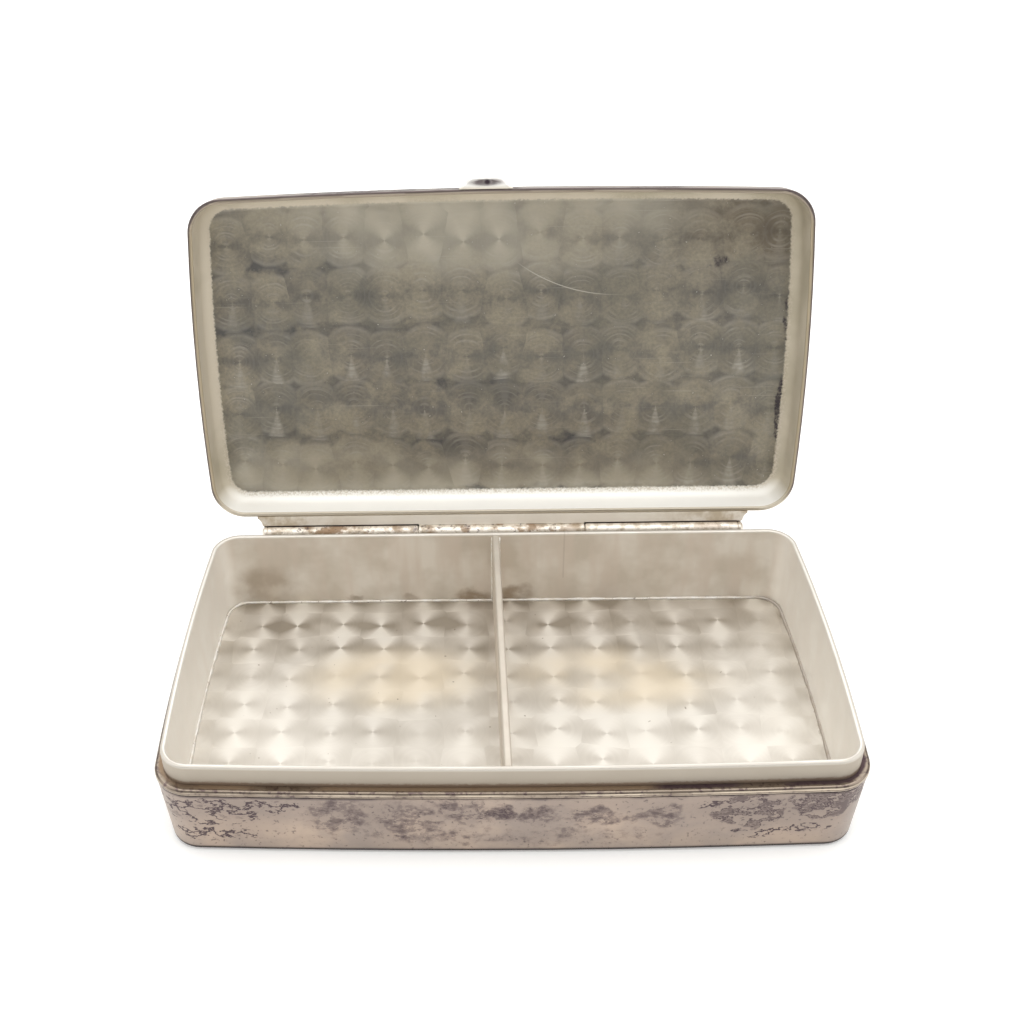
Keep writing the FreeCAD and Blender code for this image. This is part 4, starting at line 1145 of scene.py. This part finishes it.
    def panel(self, bench: NodeBench, place: Node, laid: Spots, fine: Node, tone: Node) -> Value:
        """Adds the nodes of the turned panel's colour, with painted light patches, painted glints and
        painted shade beside each spot's centre.

        Args:
            bench: The material.
            place: The point, in the lid's frame.
            laid: The turned spots.
            fine: The finest grain.
            tone: The broadest grain.

        Returns:
            The node that gives the colour.
        """
        mottle = bench.add("TexNoise", named=self.mottle.at(place))
        grainy = bench.add("MapRange", mottle, *self.grainy_ramp)
        ragged = bench.warped(place, self.mottle, self.ragged_reach)
        mixed = bench.add("Math", laid["chance"], self.spot_share, mottle, **TIMES_PLUS)
        bare = bench.add("MapRange", laid["cover"], *INVERSE)
        gaps = bench.patches(ragged, self.gaps)
        gaps = bench.add("Math", gaps, bench.add("MapRange", bare, *self.gap_ramp), **TIMES)
        dim = bench.add("Math", bare, self.bare_share, **TIMES)
        # Painted shade beside each spot's centre, where its bow-tie is dark, laid in the gap colour
        for shade in (bench.add("MapRange", laid["bow"], *self.beside_shade_ramp), gaps):
            dim = bench.add("Math", dim, shade, **HIGHEST)
        corner = bench.patches(ragged, (self.corner_dark,))
        lit = bench.patches(ragged, self.lights)
        for share in (
            bench.add("MapRange", tone, *self.lit_tone),
            bench.add("Math", 1.0, gaps, **MINUS),
            bench.add("MapRange", laid["bow"], *self.lit_bow),
        ):
            lit = bench.add("Math", lit, share, **TIMES)
        broken = bench.add("Math", mottle, NOISE_MIDDLE, **MINUS)
        smudge = bench.patches(place, self.smudges)
        smudge = bench.add("Math", broken, self.smudge_break, smudge, **TIMES_PLUS)
        smudge = bench.add("MapRange", smudge, *self.smudge_ramp)
        smudge = bench.add("Math", smudge, bench.add("MapRange", fine, *self.smudge_fine), **TIMES)
        return bench.coats(
            self.olive,
            (bench.add("MapRange", mixed, *self.shift_ramp), self.grey),
            (bench.add("MapRange", tone, *self.cool_ramp, **SMOOTH), self.cool),
            (bench.add("MapRange", fine, *self.dusty_ramp), self.gap),
            (bench.add("Math", dim, grainy, **TIMES), self.gap),
            (bench.add("Math", corner, grainy, **TIMES), self.dull),
            (lit, self.light),
            (self.glints(bench, place, laid, fine, mottle), self.glint),
            (smudge, self.stain),
        )

    def coving(self, bench: NodeBench, place: Node, along: Value, past: Node, tone: Node) -> Value:
        """Adds the nodes of the coved border's colour, stippled beside the panel, with a painted highlight
        near the hinge.

        Args:
            bench: The material.
            place: The point, in the lid's frame.
            along: The place from the hinge to the front.
            past: How far inside the panel's edge the point lies.
            tone: The broadest grain.

        Returns:
            The node that gives the colour.
        """
        stippled = bench.add("MapRange", past, *self.border_ramp, **SMOOTH)
        stipple = bench.add("TexNoise", named=self.stipple.at(place))
        for part, ramp in ((stipple, self.stipple_ramp), (along, self.border_rows)):
            stippled = bench.add("Math", stippled, bench.add("MapRange", part, *ramp), **TIMES)
        return bench.coats(
            self.cove,
            (bench.add("MapRange", tone, *self.warm_ramp), self.brown),
            # Painted highlight: the cove next to the hinge is painted near white
            (bench.add("MapRange", along, *self.white_ramp), self.low_cove_highlight),
            (stippled, self.border),
        )

    def outer(self, bench: NodeBench, place: Node, inset: Node) -> Tuple[Value, Node]:
        """Adds the nodes of the lid's outside: hazy silver under tarnish, rubbed bright at its shoulder.

        Args:
            bench: The material.
            place: The point, in the lid's frame.
            inset: How far inside the lid's outline the point lies.

        Returns:
            The nodes that give the colour and the tarnish.
        """
        tone = bench.add("TexNoise", named=self.outside_tone.at(place))
        broad = bench.add("TexNoise", named=self.elsewhere.at(place))
        spread = bench.add("MapRange", broad, *self.tarnish_ramp, **SMOOTH)
        stain = self.tarnish.lay(bench, place, spread)
        height = bench.add("SeparateXYZ", place).outputs["Z"]
        rub = bench.add("MapRange", inset, *self.rub_ramp, **SMOOTH)
        rub = bench.add("Math", rub, bench.add("MapRange", height, *self.shoulder_ramp), **TIMES)
        for turn in self.hairline_turns:
            long = bench.add("VectorRotate", place, NOUGHT, UPWARDS, turn)
            long = bench.add("VectorMath", long, self.hairline_stretch, **TIMES)
            mark = bench.add("TexNoise", named=self.hairline.at(long))
            rub = bench.add("Math", rub, bench.add("MapRange", mark, *self.hairline_ramp), **HIGHEST)
        colour = bench.coats(
            self.outside,
            (bench.add("MapRange", tone, *self.outside_ramp), self.outside_cool),
            (bench.add("MapRange", broad, *self.haze_ramp, **SMOOTH), self.outside_haze),
            (stain, self.stain),
            (rub, self.rubbed),
        )
        return colour, stain

    def rim(self, bench: NodeBench, along: Value, inset: Node) -> Value:
        """Adds the nodes of the rim's colour: dull in front, tan at the sides, with a painted dark
        reflection along its outer edge.

        Args:
            bench: The material.
            along: The place from the hinge to the front.
            inset: How far inside the lid's outline the point lies.

        Returns:
            The node that gives the colour.
        """
        front = bench.add("MapRange", along, *self.edge_top_ramp, **SMOOTH)
        low = bench.add("MapRange", along, *self.white_ramp)
        # Painted reflection: a dark line along the outer edge, left out next to the hinge
        line = bench.add("MapRange", inset, *self.edge_dark_reflection_ramp)
        line = bench.add("Math", line, bench.add("Math", 1.0, low, **MINUS), **TIMES)
        return bench.coats(self.edge_side, (front, self.edge_top), (low, self.cove), (line, self.edge_dark_reflection))

    def inwards(self, bench: NodeBench, place: Node, outline: Outline, turn: Turn) -> Node:
        """Adds the nodes that tell the lid's inside from its outside.

        Args:
            bench: The material.
            place: The point, in the lid's frame.
            outline: The lid's own outline.
            turn: The lid's frame.

        Returns:
            The node that gives one on the inside and nought on the outside.
        """
        normal = bench.add("TexCoord").outputs["Normal"]
        turned = bench.add("Mapping", normal, NOUGHT, turn.angles, WHOLE, vector_type="POINT")
        way = bench.add("VectorMath", (0.0, outline.middle, 0.0), place, **MINUS)
        facing = bench.add("VectorMath", turned, way, operation="DOT_PRODUCT").outputs["Value"]
        return bench.add("Math", facing, 0.0, **ABOVE)

    def material(self, outline: Outline, turn: Turn) -> bpy.types.Material:
        """Makes the material.

        Args:
            outline: The lid's own outline.
            turn: The lid's frame, with its inside upwards.

        Returns:
            The material.
        """
        bench = NodeBench(self.name)
        place = bench.place(turn)
        axes = bench.add("SeparateXYZ", place)
        along = axes.outputs["Y"]
        tone = bench.add("TexNoise", named=self.tone.at(place))
        fine = bench.add("TexNoise", named=self.fine.at(place))
        laid = self.spots.lay(bench, bench.warped(place, self.wobble, self.wobble_reach))
        inset = bench.inset(place, outline)
        ragged = bench.add("Math", fine, self.border_wave, inset, **TIMES_PLUS)
        past = bench.add("Math", ragged, self.panel_inset + self.border_wave / 2, **MINUS)
        on_panel = bench.add("MapRange", past, *self.panel_ramp)
        facing = self.inwards(bench, place, outline, turn)
        coving = self.coving(bench, place, along, past, tone)
        inside = bench.coats(coving, (on_panel, self.panel(bench, place, laid, fine, tone)))
        outer, stain = self.outer(bench, place, inset)
        on_rim = bench.add("MapRange", axes.outputs["Z"], *self.edge_ramp)
        colour = bench.coats(outer, (facing, inside), (on_rim, self.rim(bench, along, inset)))
        turned_area = bench.add("Math", on_panel, facing, **TIMES)
        rough = bench.add("Mix", turned_area, self.cove_roughness, self.roughness)
        outer_rough = bench.add("Math", stain, self.stain_roughness, self.outside_roughness, **TIMES_PLUS)
        rough = bench.add("Mix", facing, outer_rough, rough)
        satin = bench.add("Math", facing, turned_area, **MINUS)
        marks = bench.add("Math", laid["rings"], turned_area, **TIMES)
        marks = bench.add("Math", fine, self.fine_height, marks, **TIMES_PLUS)
        bump = bench.add("Bump", named=self.relief.of(marks))
        back = tuple(-angle for angle in turn.angles)
        way = bench.add("Mapping", laid["way"], NOUGHT, back, WHOLE, vector_type="POINT")
        more = {
            "Metallic": bench.add("Mix", satin, 1.0, self.cove_metallic),
            "Anisotropic": bench.add("Math", turned_area, self.anisotropy, **TIMES),
            "Tangent": bench.add("VectorTransform", way, **TO_WORLD),
        }
        return bench.finish(colour, rough, bump, more)


@dataclass(frozen=True)
class ThumbSilver:
    """Cast silver tab, rubbed white by the thumb, grey in its scoop, with a dark spot."""

    name: str = "cast_silver_thumbpiece"
    bright: str = "FFFEFA"
    cream: str = "E2D8C4"
    grey: str = "857D7D"
    dark: str = "463A42"
    roughness: float = 0.45
    grime_roughness: float = 0.2
    metallic: float = 0.45
    relief: Relief = Relief(0.2, 0.04)
    tone: Grain = Grain(1.6, 3.0)
    scoop: Patch = Patch((-1.85, 52.9, 0.0), (2.7, 0.55, 2.0))
    spot: Patch = Patch((-1.65, 52.9, 0.0), (0.5, 0.4, 2.0))
    root_ramp: Ramp = (52.5, 51.9, 0.0, 1.0)
    worn_ramp: Ramp = (0.3, 0.55, 0.6, 1.0)

    def material(self, turn: Turn) -> bpy.types.Material:
        """Makes the material.

        Args:
            turn: The lid's frame.

        Returns:
            The material.
        """
        bench = NodeBench(self.name)
        place = bench.place(turn)
        along = bench.add("SeparateXYZ", place).outputs["Y"]
        tone = bench.add("TexNoise", named=self.tone.at(place))
        # Greyer in the scoop, darkest at one spot
        grime = bench.patches(place, (self.scoop,))
        grime = bench.add("Math", grime, bench.add("MapRange", tone, *self.worn_ramp), **TIMES)
        colour = bench.coats(
            self.bright,
            (bench.add("MapRange", along, *self.root_ramp), self.cream),
            (grime, self.grey),
            (bench.patches(place, (self.spot,)), self.dark),
        )
        rough = bench.add("Math", grime, self.grime_roughness, self.roughness, **TIMES_PLUS)
        bump = bench.add("Bump", named=self.relief.of(tone))
        return bench.finish(colour, rough, bump, {"Metallic": self.metallic})


@dataclass(frozen=True)
class SolderSilver:
    """Silver solder, run and filed by hand: whiter than the sheet, lumpy, with dirt in its hollows."""

    name: str = "silver_solder"
    bright: str = "FFFDF8"
    plain: str = "F1EBE0"
    dirt: str = "8F7C69"
    roughness: float = 0.5
    dirt_roughness: float = 0.3
    metallic: float = 0.3
    relief: Relief = Relief(0.3, 0.05)
    tone: Grain = Grain(1.3, 3.0)
    fleck: Grain = Grain(0.6, 3.0)
    tone_ramp: Ramp = (0.35, 0.6, 0.0, 1.0)
    fleck_ramp: Ramp = (0.63, 0.72, 0.0, 0.7)
    right_ramp: Ramp = (36.0, 41.0, 0.0, 0.6)

    def material(self) -> bpy.types.Material:
        """Makes the material.

        Returns:
            The material.
        """
        bench = NodeBench(self.name)
        place = bench.place()
        across = bench.add("SeparateXYZ", place).outputs["X"]
        tone = bench.add("TexNoise", named=self.tone.at(place))
        fleck = bench.add("TexNoise", named=self.fleck.at(place))
        flecks = bench.add("MapRange", fleck, *self.fleck_ramp)
        flecks = bench.add("Math", flecks, bench.add("MapRange", across, *self.right_ramp), **HIGHEST)
        shift = bench.add("MapRange", tone, *self.tone_ramp)
        colour = bench.coats(self.plain, (shift, self.bright), (flecks, self.dirt))
        rough = bench.add("Math", flecks, self.dirt_roughness, self.roughness, **TIMES_PLUS)
        bump = bench.add("Bump", named=self.relief.of(tone))
        return bench.finish(colour, rough, bump, {"Metallic": self.metallic})


def dress(node_name: str, material: bpy.types.Material) -> None:
    """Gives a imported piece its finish.

    Args:
        node_name: The piece.
        material: The finish.
    """
    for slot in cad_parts[node_name].material_slots:
        slot.material = material
    LOG.info("dressed %s in %s", node_name, material.name)


def add_piece(
    name: str, shape: bmesh.types.BMesh, material: bpy.types.Material, body: str
) -> None:
    """Turns a finished bmesh, drawn in millimetres, to a piece that rides on a body.

    Args:
        name: The piece's name.
        shape: Its mesh, which is freed.
        material: Its finish.
        body: The body that carries it.
    """
    bmesh.ops.recalc_face_normals(shape, faces=shape.faces)
    bmesh.ops.scale(shape, vec=(MM,) * 3, verts=shape.verts)
    for face in shape.faces:
        face.smooth = True
    mesh = bpy.data.meshes.new(name)
    shape.to_mesh(mesh)
    shape.free()
    mesh.materials.append(material)
    piece = bpy.data.objects.new(name, mesh)
    bpy.context.scene.collection.objects.link(piece)
    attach(piece, body)
    LOG.info("built %s with %d faces", name, len(mesh.polygons))


@dataclass
class BasePan:
    """The stamped outer pan and the seat band soldered round its top."""

    outline: Outline = BOX
    wall: StampedSilver = StampedSilver()
    seat: SeatSilver = SeatSilver()

    def build(self) -> None:
        """Dresses the pan and its seat band."""
        dress("base_shell", self.wall.material())
        dress("ledge_wire", self.seat.material(self.outline))


@dataclass
class Liner:
    """The liner band, the floor and the divider, with the solder that holds them."""

    box_outline: Outline = BOX
    corner: float = 3.15
    band: LinerSilver = LinerSilver()
    plate: LinerSilver = LinerSilver(
        "rolled_silver_divider", plain="D6CEC2", pink="CFC4B8", grey="C9C0B3", worn="E2DBCF"
    )
    floor: FloorSilver = FloorSilver()
    solder: SolderSilver = SolderSilver()
    solder_body: str = "base"
    solder_slot: str = "liner_silver"
    divider_middle: float = -0.62
    divider_half: float = 0.5
    divider_skew: float = 0.9
    divider_top: float = 14.4
    bead_width: float = 0.36
    bead_bite: float = 0.1
    bead_height: float = 0.3
    bead_ripple: float = 0.14
    ripple_size: float = 1.6
    corner_cuts: int = 8
    run_cuts: int = 90
    fillet_leg: float = 0.22
    fillet_ripple: float = 0.25
    fillet_cuts: int = 14

    def divider_face(self, depth: float, side: int) -> float:
        """Where the divider's face stands across the box.

        Args:
            depth: The place from front to back.
            side: The face, or nought for the divider's middle.

        Returns:
            The face's X in millimetres.
        """
        lean = math.tan(math.radians(self.divider_skew)) * depth
        return self.divider_middle - lean + side * self.divider_half

    def floor_outline(self) -> Outline:
        """The floor's outline, from its packed box."""
        low, high = (corner * PER_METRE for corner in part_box("compartment_floor"))
        return Outline(high.x, (high.y - low.y) / 2, (high.y + low.y) / 2, self.corner)

    def build(self) -> None:
        """Dresses the band, the floor and the divider, and runs the solder."""
        outline = self.floor_outline()
        dress("inner_rim", self.band.material(self.box_outline))
        dress("divider", self.plate.material(self.box_outline))
        dress("compartment_floor", self.floor.material(outline))
        solder = self.solder.material()
        floor_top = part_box("compartment_floor")[1].z * PER_METRE
        for side in Side:
            word = side.name.lower()
            bead = self.floor_bead(outline, side, floor_top)
            add_piece(f"floor_solder_{word}", bead, solder, self.solder_body)
            for end in End:
                fillet = self.divider_fillet(outline, side, end, floor_top)
                name = f"divider_solder_{end.name.lower()}_{word}"
                add_piece(name, fillet, solder, self.solder_body)

    def bow(self, shape: bmesh.types.BMesh, outline: Outline) -> None:
        """Bends a straight-sided plan to the outline's bowed sides and front.

        Args:
            shape: The mesh.
            outline: The plan.
        """
        for vertex in shape.verts:
            side = vertex.co.x / outline.half_width
            depth = (vertex.co.y - outline.middle) / outline.half_depth
            vertex.co.x -= outline.side_bow * depth**2 * side
            vertex.co.y += outline.front_bow * side**2 * max(-depth, 0.0)

    def floor_bead(self, outline: Outline, side: Side, floor_top: float) -> bmesh.types.BMesh:
        """Runs a lumpy solder fillet round the foot of one compartment.

        Args:
            outline: The floor's plan.
            side: The compartment.
            floor_top: The floor's height.

        Returns:
            The fillet's mesh, in millimetres.
        """
        shape = bmesh.new()
        near = outline.middle - outline.half_depth - self.bead_bite
        far = outline.middle + outline.half_depth + self.bead_bite
        outer = side * (outline.half_width + self.bead_bite)
        corners = [
            shape.verts.new((x, y, floor_top))
            for x, y in (
                (outer, near),
                (self.divider_face(near, 0), near),
                (self.divider_face(far, 0), far),
                (outer, far),
            )
        ]
        shape.faces.new(corners)
        bmesh.ops.bevel(
            shape,
            geom=[corners[0], corners[3]],
            offset=self.corner,
            affect="VERTICES",
            segments=self.corner_cuts,
            profile=0.5,
            material=-1,
        )
        runs = [edge for edge in shape.edges if edge.calc_length() > 2 * self.corner]
        bmesh.ops.subdivide_edges(shape, edges=runs, cuts=self.run_cuts)
        bmesh.ops.inset_region(
            shape,
            faces=shape.faces[:],
            thickness=self.bead_width,
            use_even_offset=True,
            use_boundary=True,
        )
        rim = [edge for edge in shape.edges if edge.is_boundary]
        middle = max(shape.faces, key=lambda face: len(face.verts))
        inner_verts = list(middle.verts)
        bmesh.ops.delete(shape, geom=[middle], context="FACES_ONLY")
        raised = bmesh.ops.extrude_edge_only(shape, edges=rim)["geom"]
        top_verts = [part for part in raised if isinstance(part, bmesh.types.BMVert)]
        bmesh.ops.translate(shape, vec=(0.0, 0.0, self.bead_height), verts=top_verts)
        bmesh.ops.bridge_loops(shape, edges=[edge for edge in shape.edges if edge.is_boundary])
        centre = Vector((outer / 2, outline.middle, floor_top))
        for vertex in inner_verts:
            wave = noise.noise(vertex.co / self.ripple_size)
            inwards = (centre - vertex.co).normalized()
            vertex.co += inwards * wave * self.bead_ripple
        for vertex in top_verts:
            vertex.co.z += noise.noise(vertex.co / self.ripple_size) * self.bead_ripple
        self.bow(shape, outline)
        return shape

    def divider_fillet(self, outline: Outline, side: Side, end: End, floor_top: float) -> bmesh.types.BMesh:
        """Runs an upright solder fillet where the divider meets the liner.

        Args:
            outline: The floor's plan.
            side: The divider's face.
            end: The divider's end.
            floor_top: The floor's height.

        Returns:
            The fillet's mesh, in millimetres.
        """
        shape = bmesh.new()
        depth = outline.middle + end * outline.half_depth
        face = self.divider_face(depth, side)
        leg = self.fillet_leg
        foot = [
            shape.verts.new((x, y, floor_top))
            for x, y in ((face, depth), (face + side * leg, depth), (face, depth - end * leg))
        ]
        sole = shape.faces.new(foot)
        grown = bmesh.ops.extrude_face_region(shape, geom=[sole])["geom"]
        top = [part for part in grown if isinstance(part, bmesh.types.BMVert)]
        bmesh.ops.translate(shape, vec=(0.0, 0.0, self.divider_top - floor_top), verts=top)
        upright = [edge for edge in shape.edges if abs(edge.verts[0].co.z - edge.verts[1].co.z) > leg]
        bmesh.ops.subdivide_edges(shape, edges=upright, cuts=self.fillet_cuts, use_grid_fill=True)
        corner = Vector((face, depth, 0.0))
        for vertex in shape.verts:
            out = Vector((vertex.co.x, vertex.co.y, 0.0)) - corner
            share = 1.0 + self.fillet_ripple * noise.noise(vertex.co / self.ripple_size)
            vertex.co.x = corner.x + out.x * share
            vertex.co.y = corner.y + out.y * share
        return shape


@dataclass
class Hinge:
    """The hinge tubes, their plugs and pin, and the strips that carry them."""

    tube: HingeSilver = HingeSilver()
    strip: BearerSilver = BearerSilver()
    tubes: Tuple[str, ...] = (
        "base_knuckle_left",
        "base_knuckle_right",
        "lid_knuckle",
        "hinge_pin",
        "hinge_plug_left",
        "hinge_plug_right",
    )
    strips: Tuple[str, ...] = ("base_hinge_bearer", "lid_hinge_bearer")

    def build(self) -> None:
        """Dresses the tubes and the strips."""
        for names, material in (
            (self.tubes, self.tube.material()),
            (self.strips, self.strip.material()),
        ):
            for name in names:
                dress(name, material)


@dataclass
class Lid:
    """The stamped lid and its thumbpiece, in the lid's own frame with its inside upwards."""

    outline: Outline = replace(BOX, middle=27.4, front_sign=1.0)
    turn: Turn = Turn((0.0, 27.4, 11.95), -75.3)
    shell: LidSilver = LidSilver()
    thumb: ThumbSilver = ThumbSilver()

    def build(self) -> None:
        """Dresses the lid and its thumbpiece."""
        dress("lid_shell", self.shell.material(self.outline, self.turn))
        dress("thumbpiece", self.thumb.material(self.turn))


@dataclass(frozen=True)
class Viewpoint:
    """The photograph's viewpoint: a place in millimetres, its turns and its picture in pixels."""

    place: Point = (-3.345, -126.974, 130.996)
    yaw: float = -1.81
    pitch: float = 35.32
    roll: float = -1.79
    focal_pixels: float = 1260.5
    centre_pixels: Tuple[float, float] = (446.6, 481.1)
    frame_pixels: float = 1024.0
    sensor: float = 36.0

    def camera(self) -> bpy.types.Object:
        """Makes the camera.

        Returns:
            The camera, linked to the scene.
        """
        yaw, pitch, roll = (math.radians(angle) for angle in (self.yaw, self.pitch, self.roll))
        ahead = Vector(
            (math.sin(yaw) * math.cos(pitch), math.cos(yaw) * math.cos(pitch), -math.sin(pitch))
        )
        level = Vector((math.cos(yaw), -math.sin(yaw), 0.0))
        upright = level.cross(ahead)
        right = level * math.cos(roll) + upright * math.sin(roll)
        up = upright * math.cos(roll) - level * math.sin(roll)
        data = bpy.data.cameras.new("photo_view")
        data.sensor_width = self.sensor
        data.lens = self.focal_pixels * self.sensor / self.frame_pixels
        middle = self.frame_pixels / 2
        data.shift_x = (middle - self.centre_pixels[0]) / self.frame_pixels
        data.shift_y = (self.centre_pixels[1] - middle) / self.frame_pixels
        data.clip_start = MM
        camera = bpy.data.objects.new("photo_view", data)
        turn = Matrix((right, up, -ahead)).transposed().to_4x4()
        camera.matrix_world = Matrix.Translation(Vector(self.place) * MM) @ turn
        bpy.context.scene.collection.objects.link(camera)
        return camera


@dataclass(frozen=True)
class Softbox:
    """A square studio light, with its place and aim in metres."""

    name: str
    place: Point
    aim: Point
    side: float
    radiance: float

    def hang(self) -> None:
        """Hangs the light."""
        data = bpy.data.lights.new(self.name, "AREA")
        data.shape = "SQUARE"
        data.size = self.side
        data.energy = self.radiance * math.pi * self.side**2
        lamp = bpy.data.objects.new(self.name, data)
        lamp.location = self.place
        way = Vector(self.aim) - Vector(self.place)
        lamp.rotation_euler = way.to_track_quat("-Z", "Y").to_euler()
        bpy.context.scene.collection.objects.link(lamp)


@dataclass
class Studio:
    """A pale table, soft light from above and the photograph's camera."""

    table_side: float = 30.0
    table_drop: float = 0.05 * MM
    table_colour: str = "F7F7F6"
    table_roughness: float = 0.9
    table_glow: float = 0.22
    room_colour: str = "F4F2EE"
    room_strength: float = 0.6
    viewpoint: Viewpoint = Viewpoint()
    lights: Tuple[Softbox, ...] = (
        Softbox("top_light", (0.0, 0.15, 0.85), (0.0, 0.05, 0.0), 1.2, 1.75),
        Softbox("left_light", (-0.8, -0.15, 0.5), (0.0, 0.0, 0.01), 0.6, 1.6),
        Softbox("right_light", (0.8, -0.15, 0.5), (0.0, 0.0, 0.01), 0.6, 1.9),
    )

    def table(self) -> None:
        """Lays the table, opal acrylic lit from below and so evenly pale, under the box."""
        mesh = bpy.data.meshes.new("table")
        shape = bmesh.new()
        bmesh.ops.create_grid(shape, x_segments=1, y_segments=1, size=self.table_side / 2)
        bmesh.ops.translate(shape, vec=(0.0, 0.0, -self.table_drop), verts=shape.verts)
        shape.to_mesh(mesh)
        shape.free()
        glow = {
            "Metallic": 0.0,
            "Emission Color": self.table_colour,
            "Emission Strength": self.table_glow,
        }
        bench = NodeBench("backlit_opal_acrylic_table")
        mesh.materials.append(bench.finish(self.table_colour, self.table_roughness, more=glow))
        table = bpy.data.objects.new("table", mesh)
        bpy.context.scene.collection.objects.link(table)

    def build(self) -> None:
        """Makes the table, the lights, the room and the camera."""
        self.table()
        for light in self.lights:
            light.hang()
        scene = bpy.context.scene
        scene.world = bpy.data.worlds.new("room")
        scene.world.use_nodes = True
        background = scene.world.node_tree.nodes["Background"]
        background.inputs["Color"].default_value = linear(self.room_colour)
        background.inputs["Strength"].default_value = self.room_strength
        scene.view_settings.view_transform = "Standard"
        scene.camera = self.viewpoint.camera()


def main() -> None:
    """Dresses every piece of the box, adds its solder and sets up the studio."""
    logging.basicConfig(level=logging.INFO, format="%(message)s")
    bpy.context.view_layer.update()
    for part in (BasePan(), Liner(), Hinge(), Lid(), Studio()):
        part.build()
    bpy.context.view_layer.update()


if __name__ == "__main__":
    main()
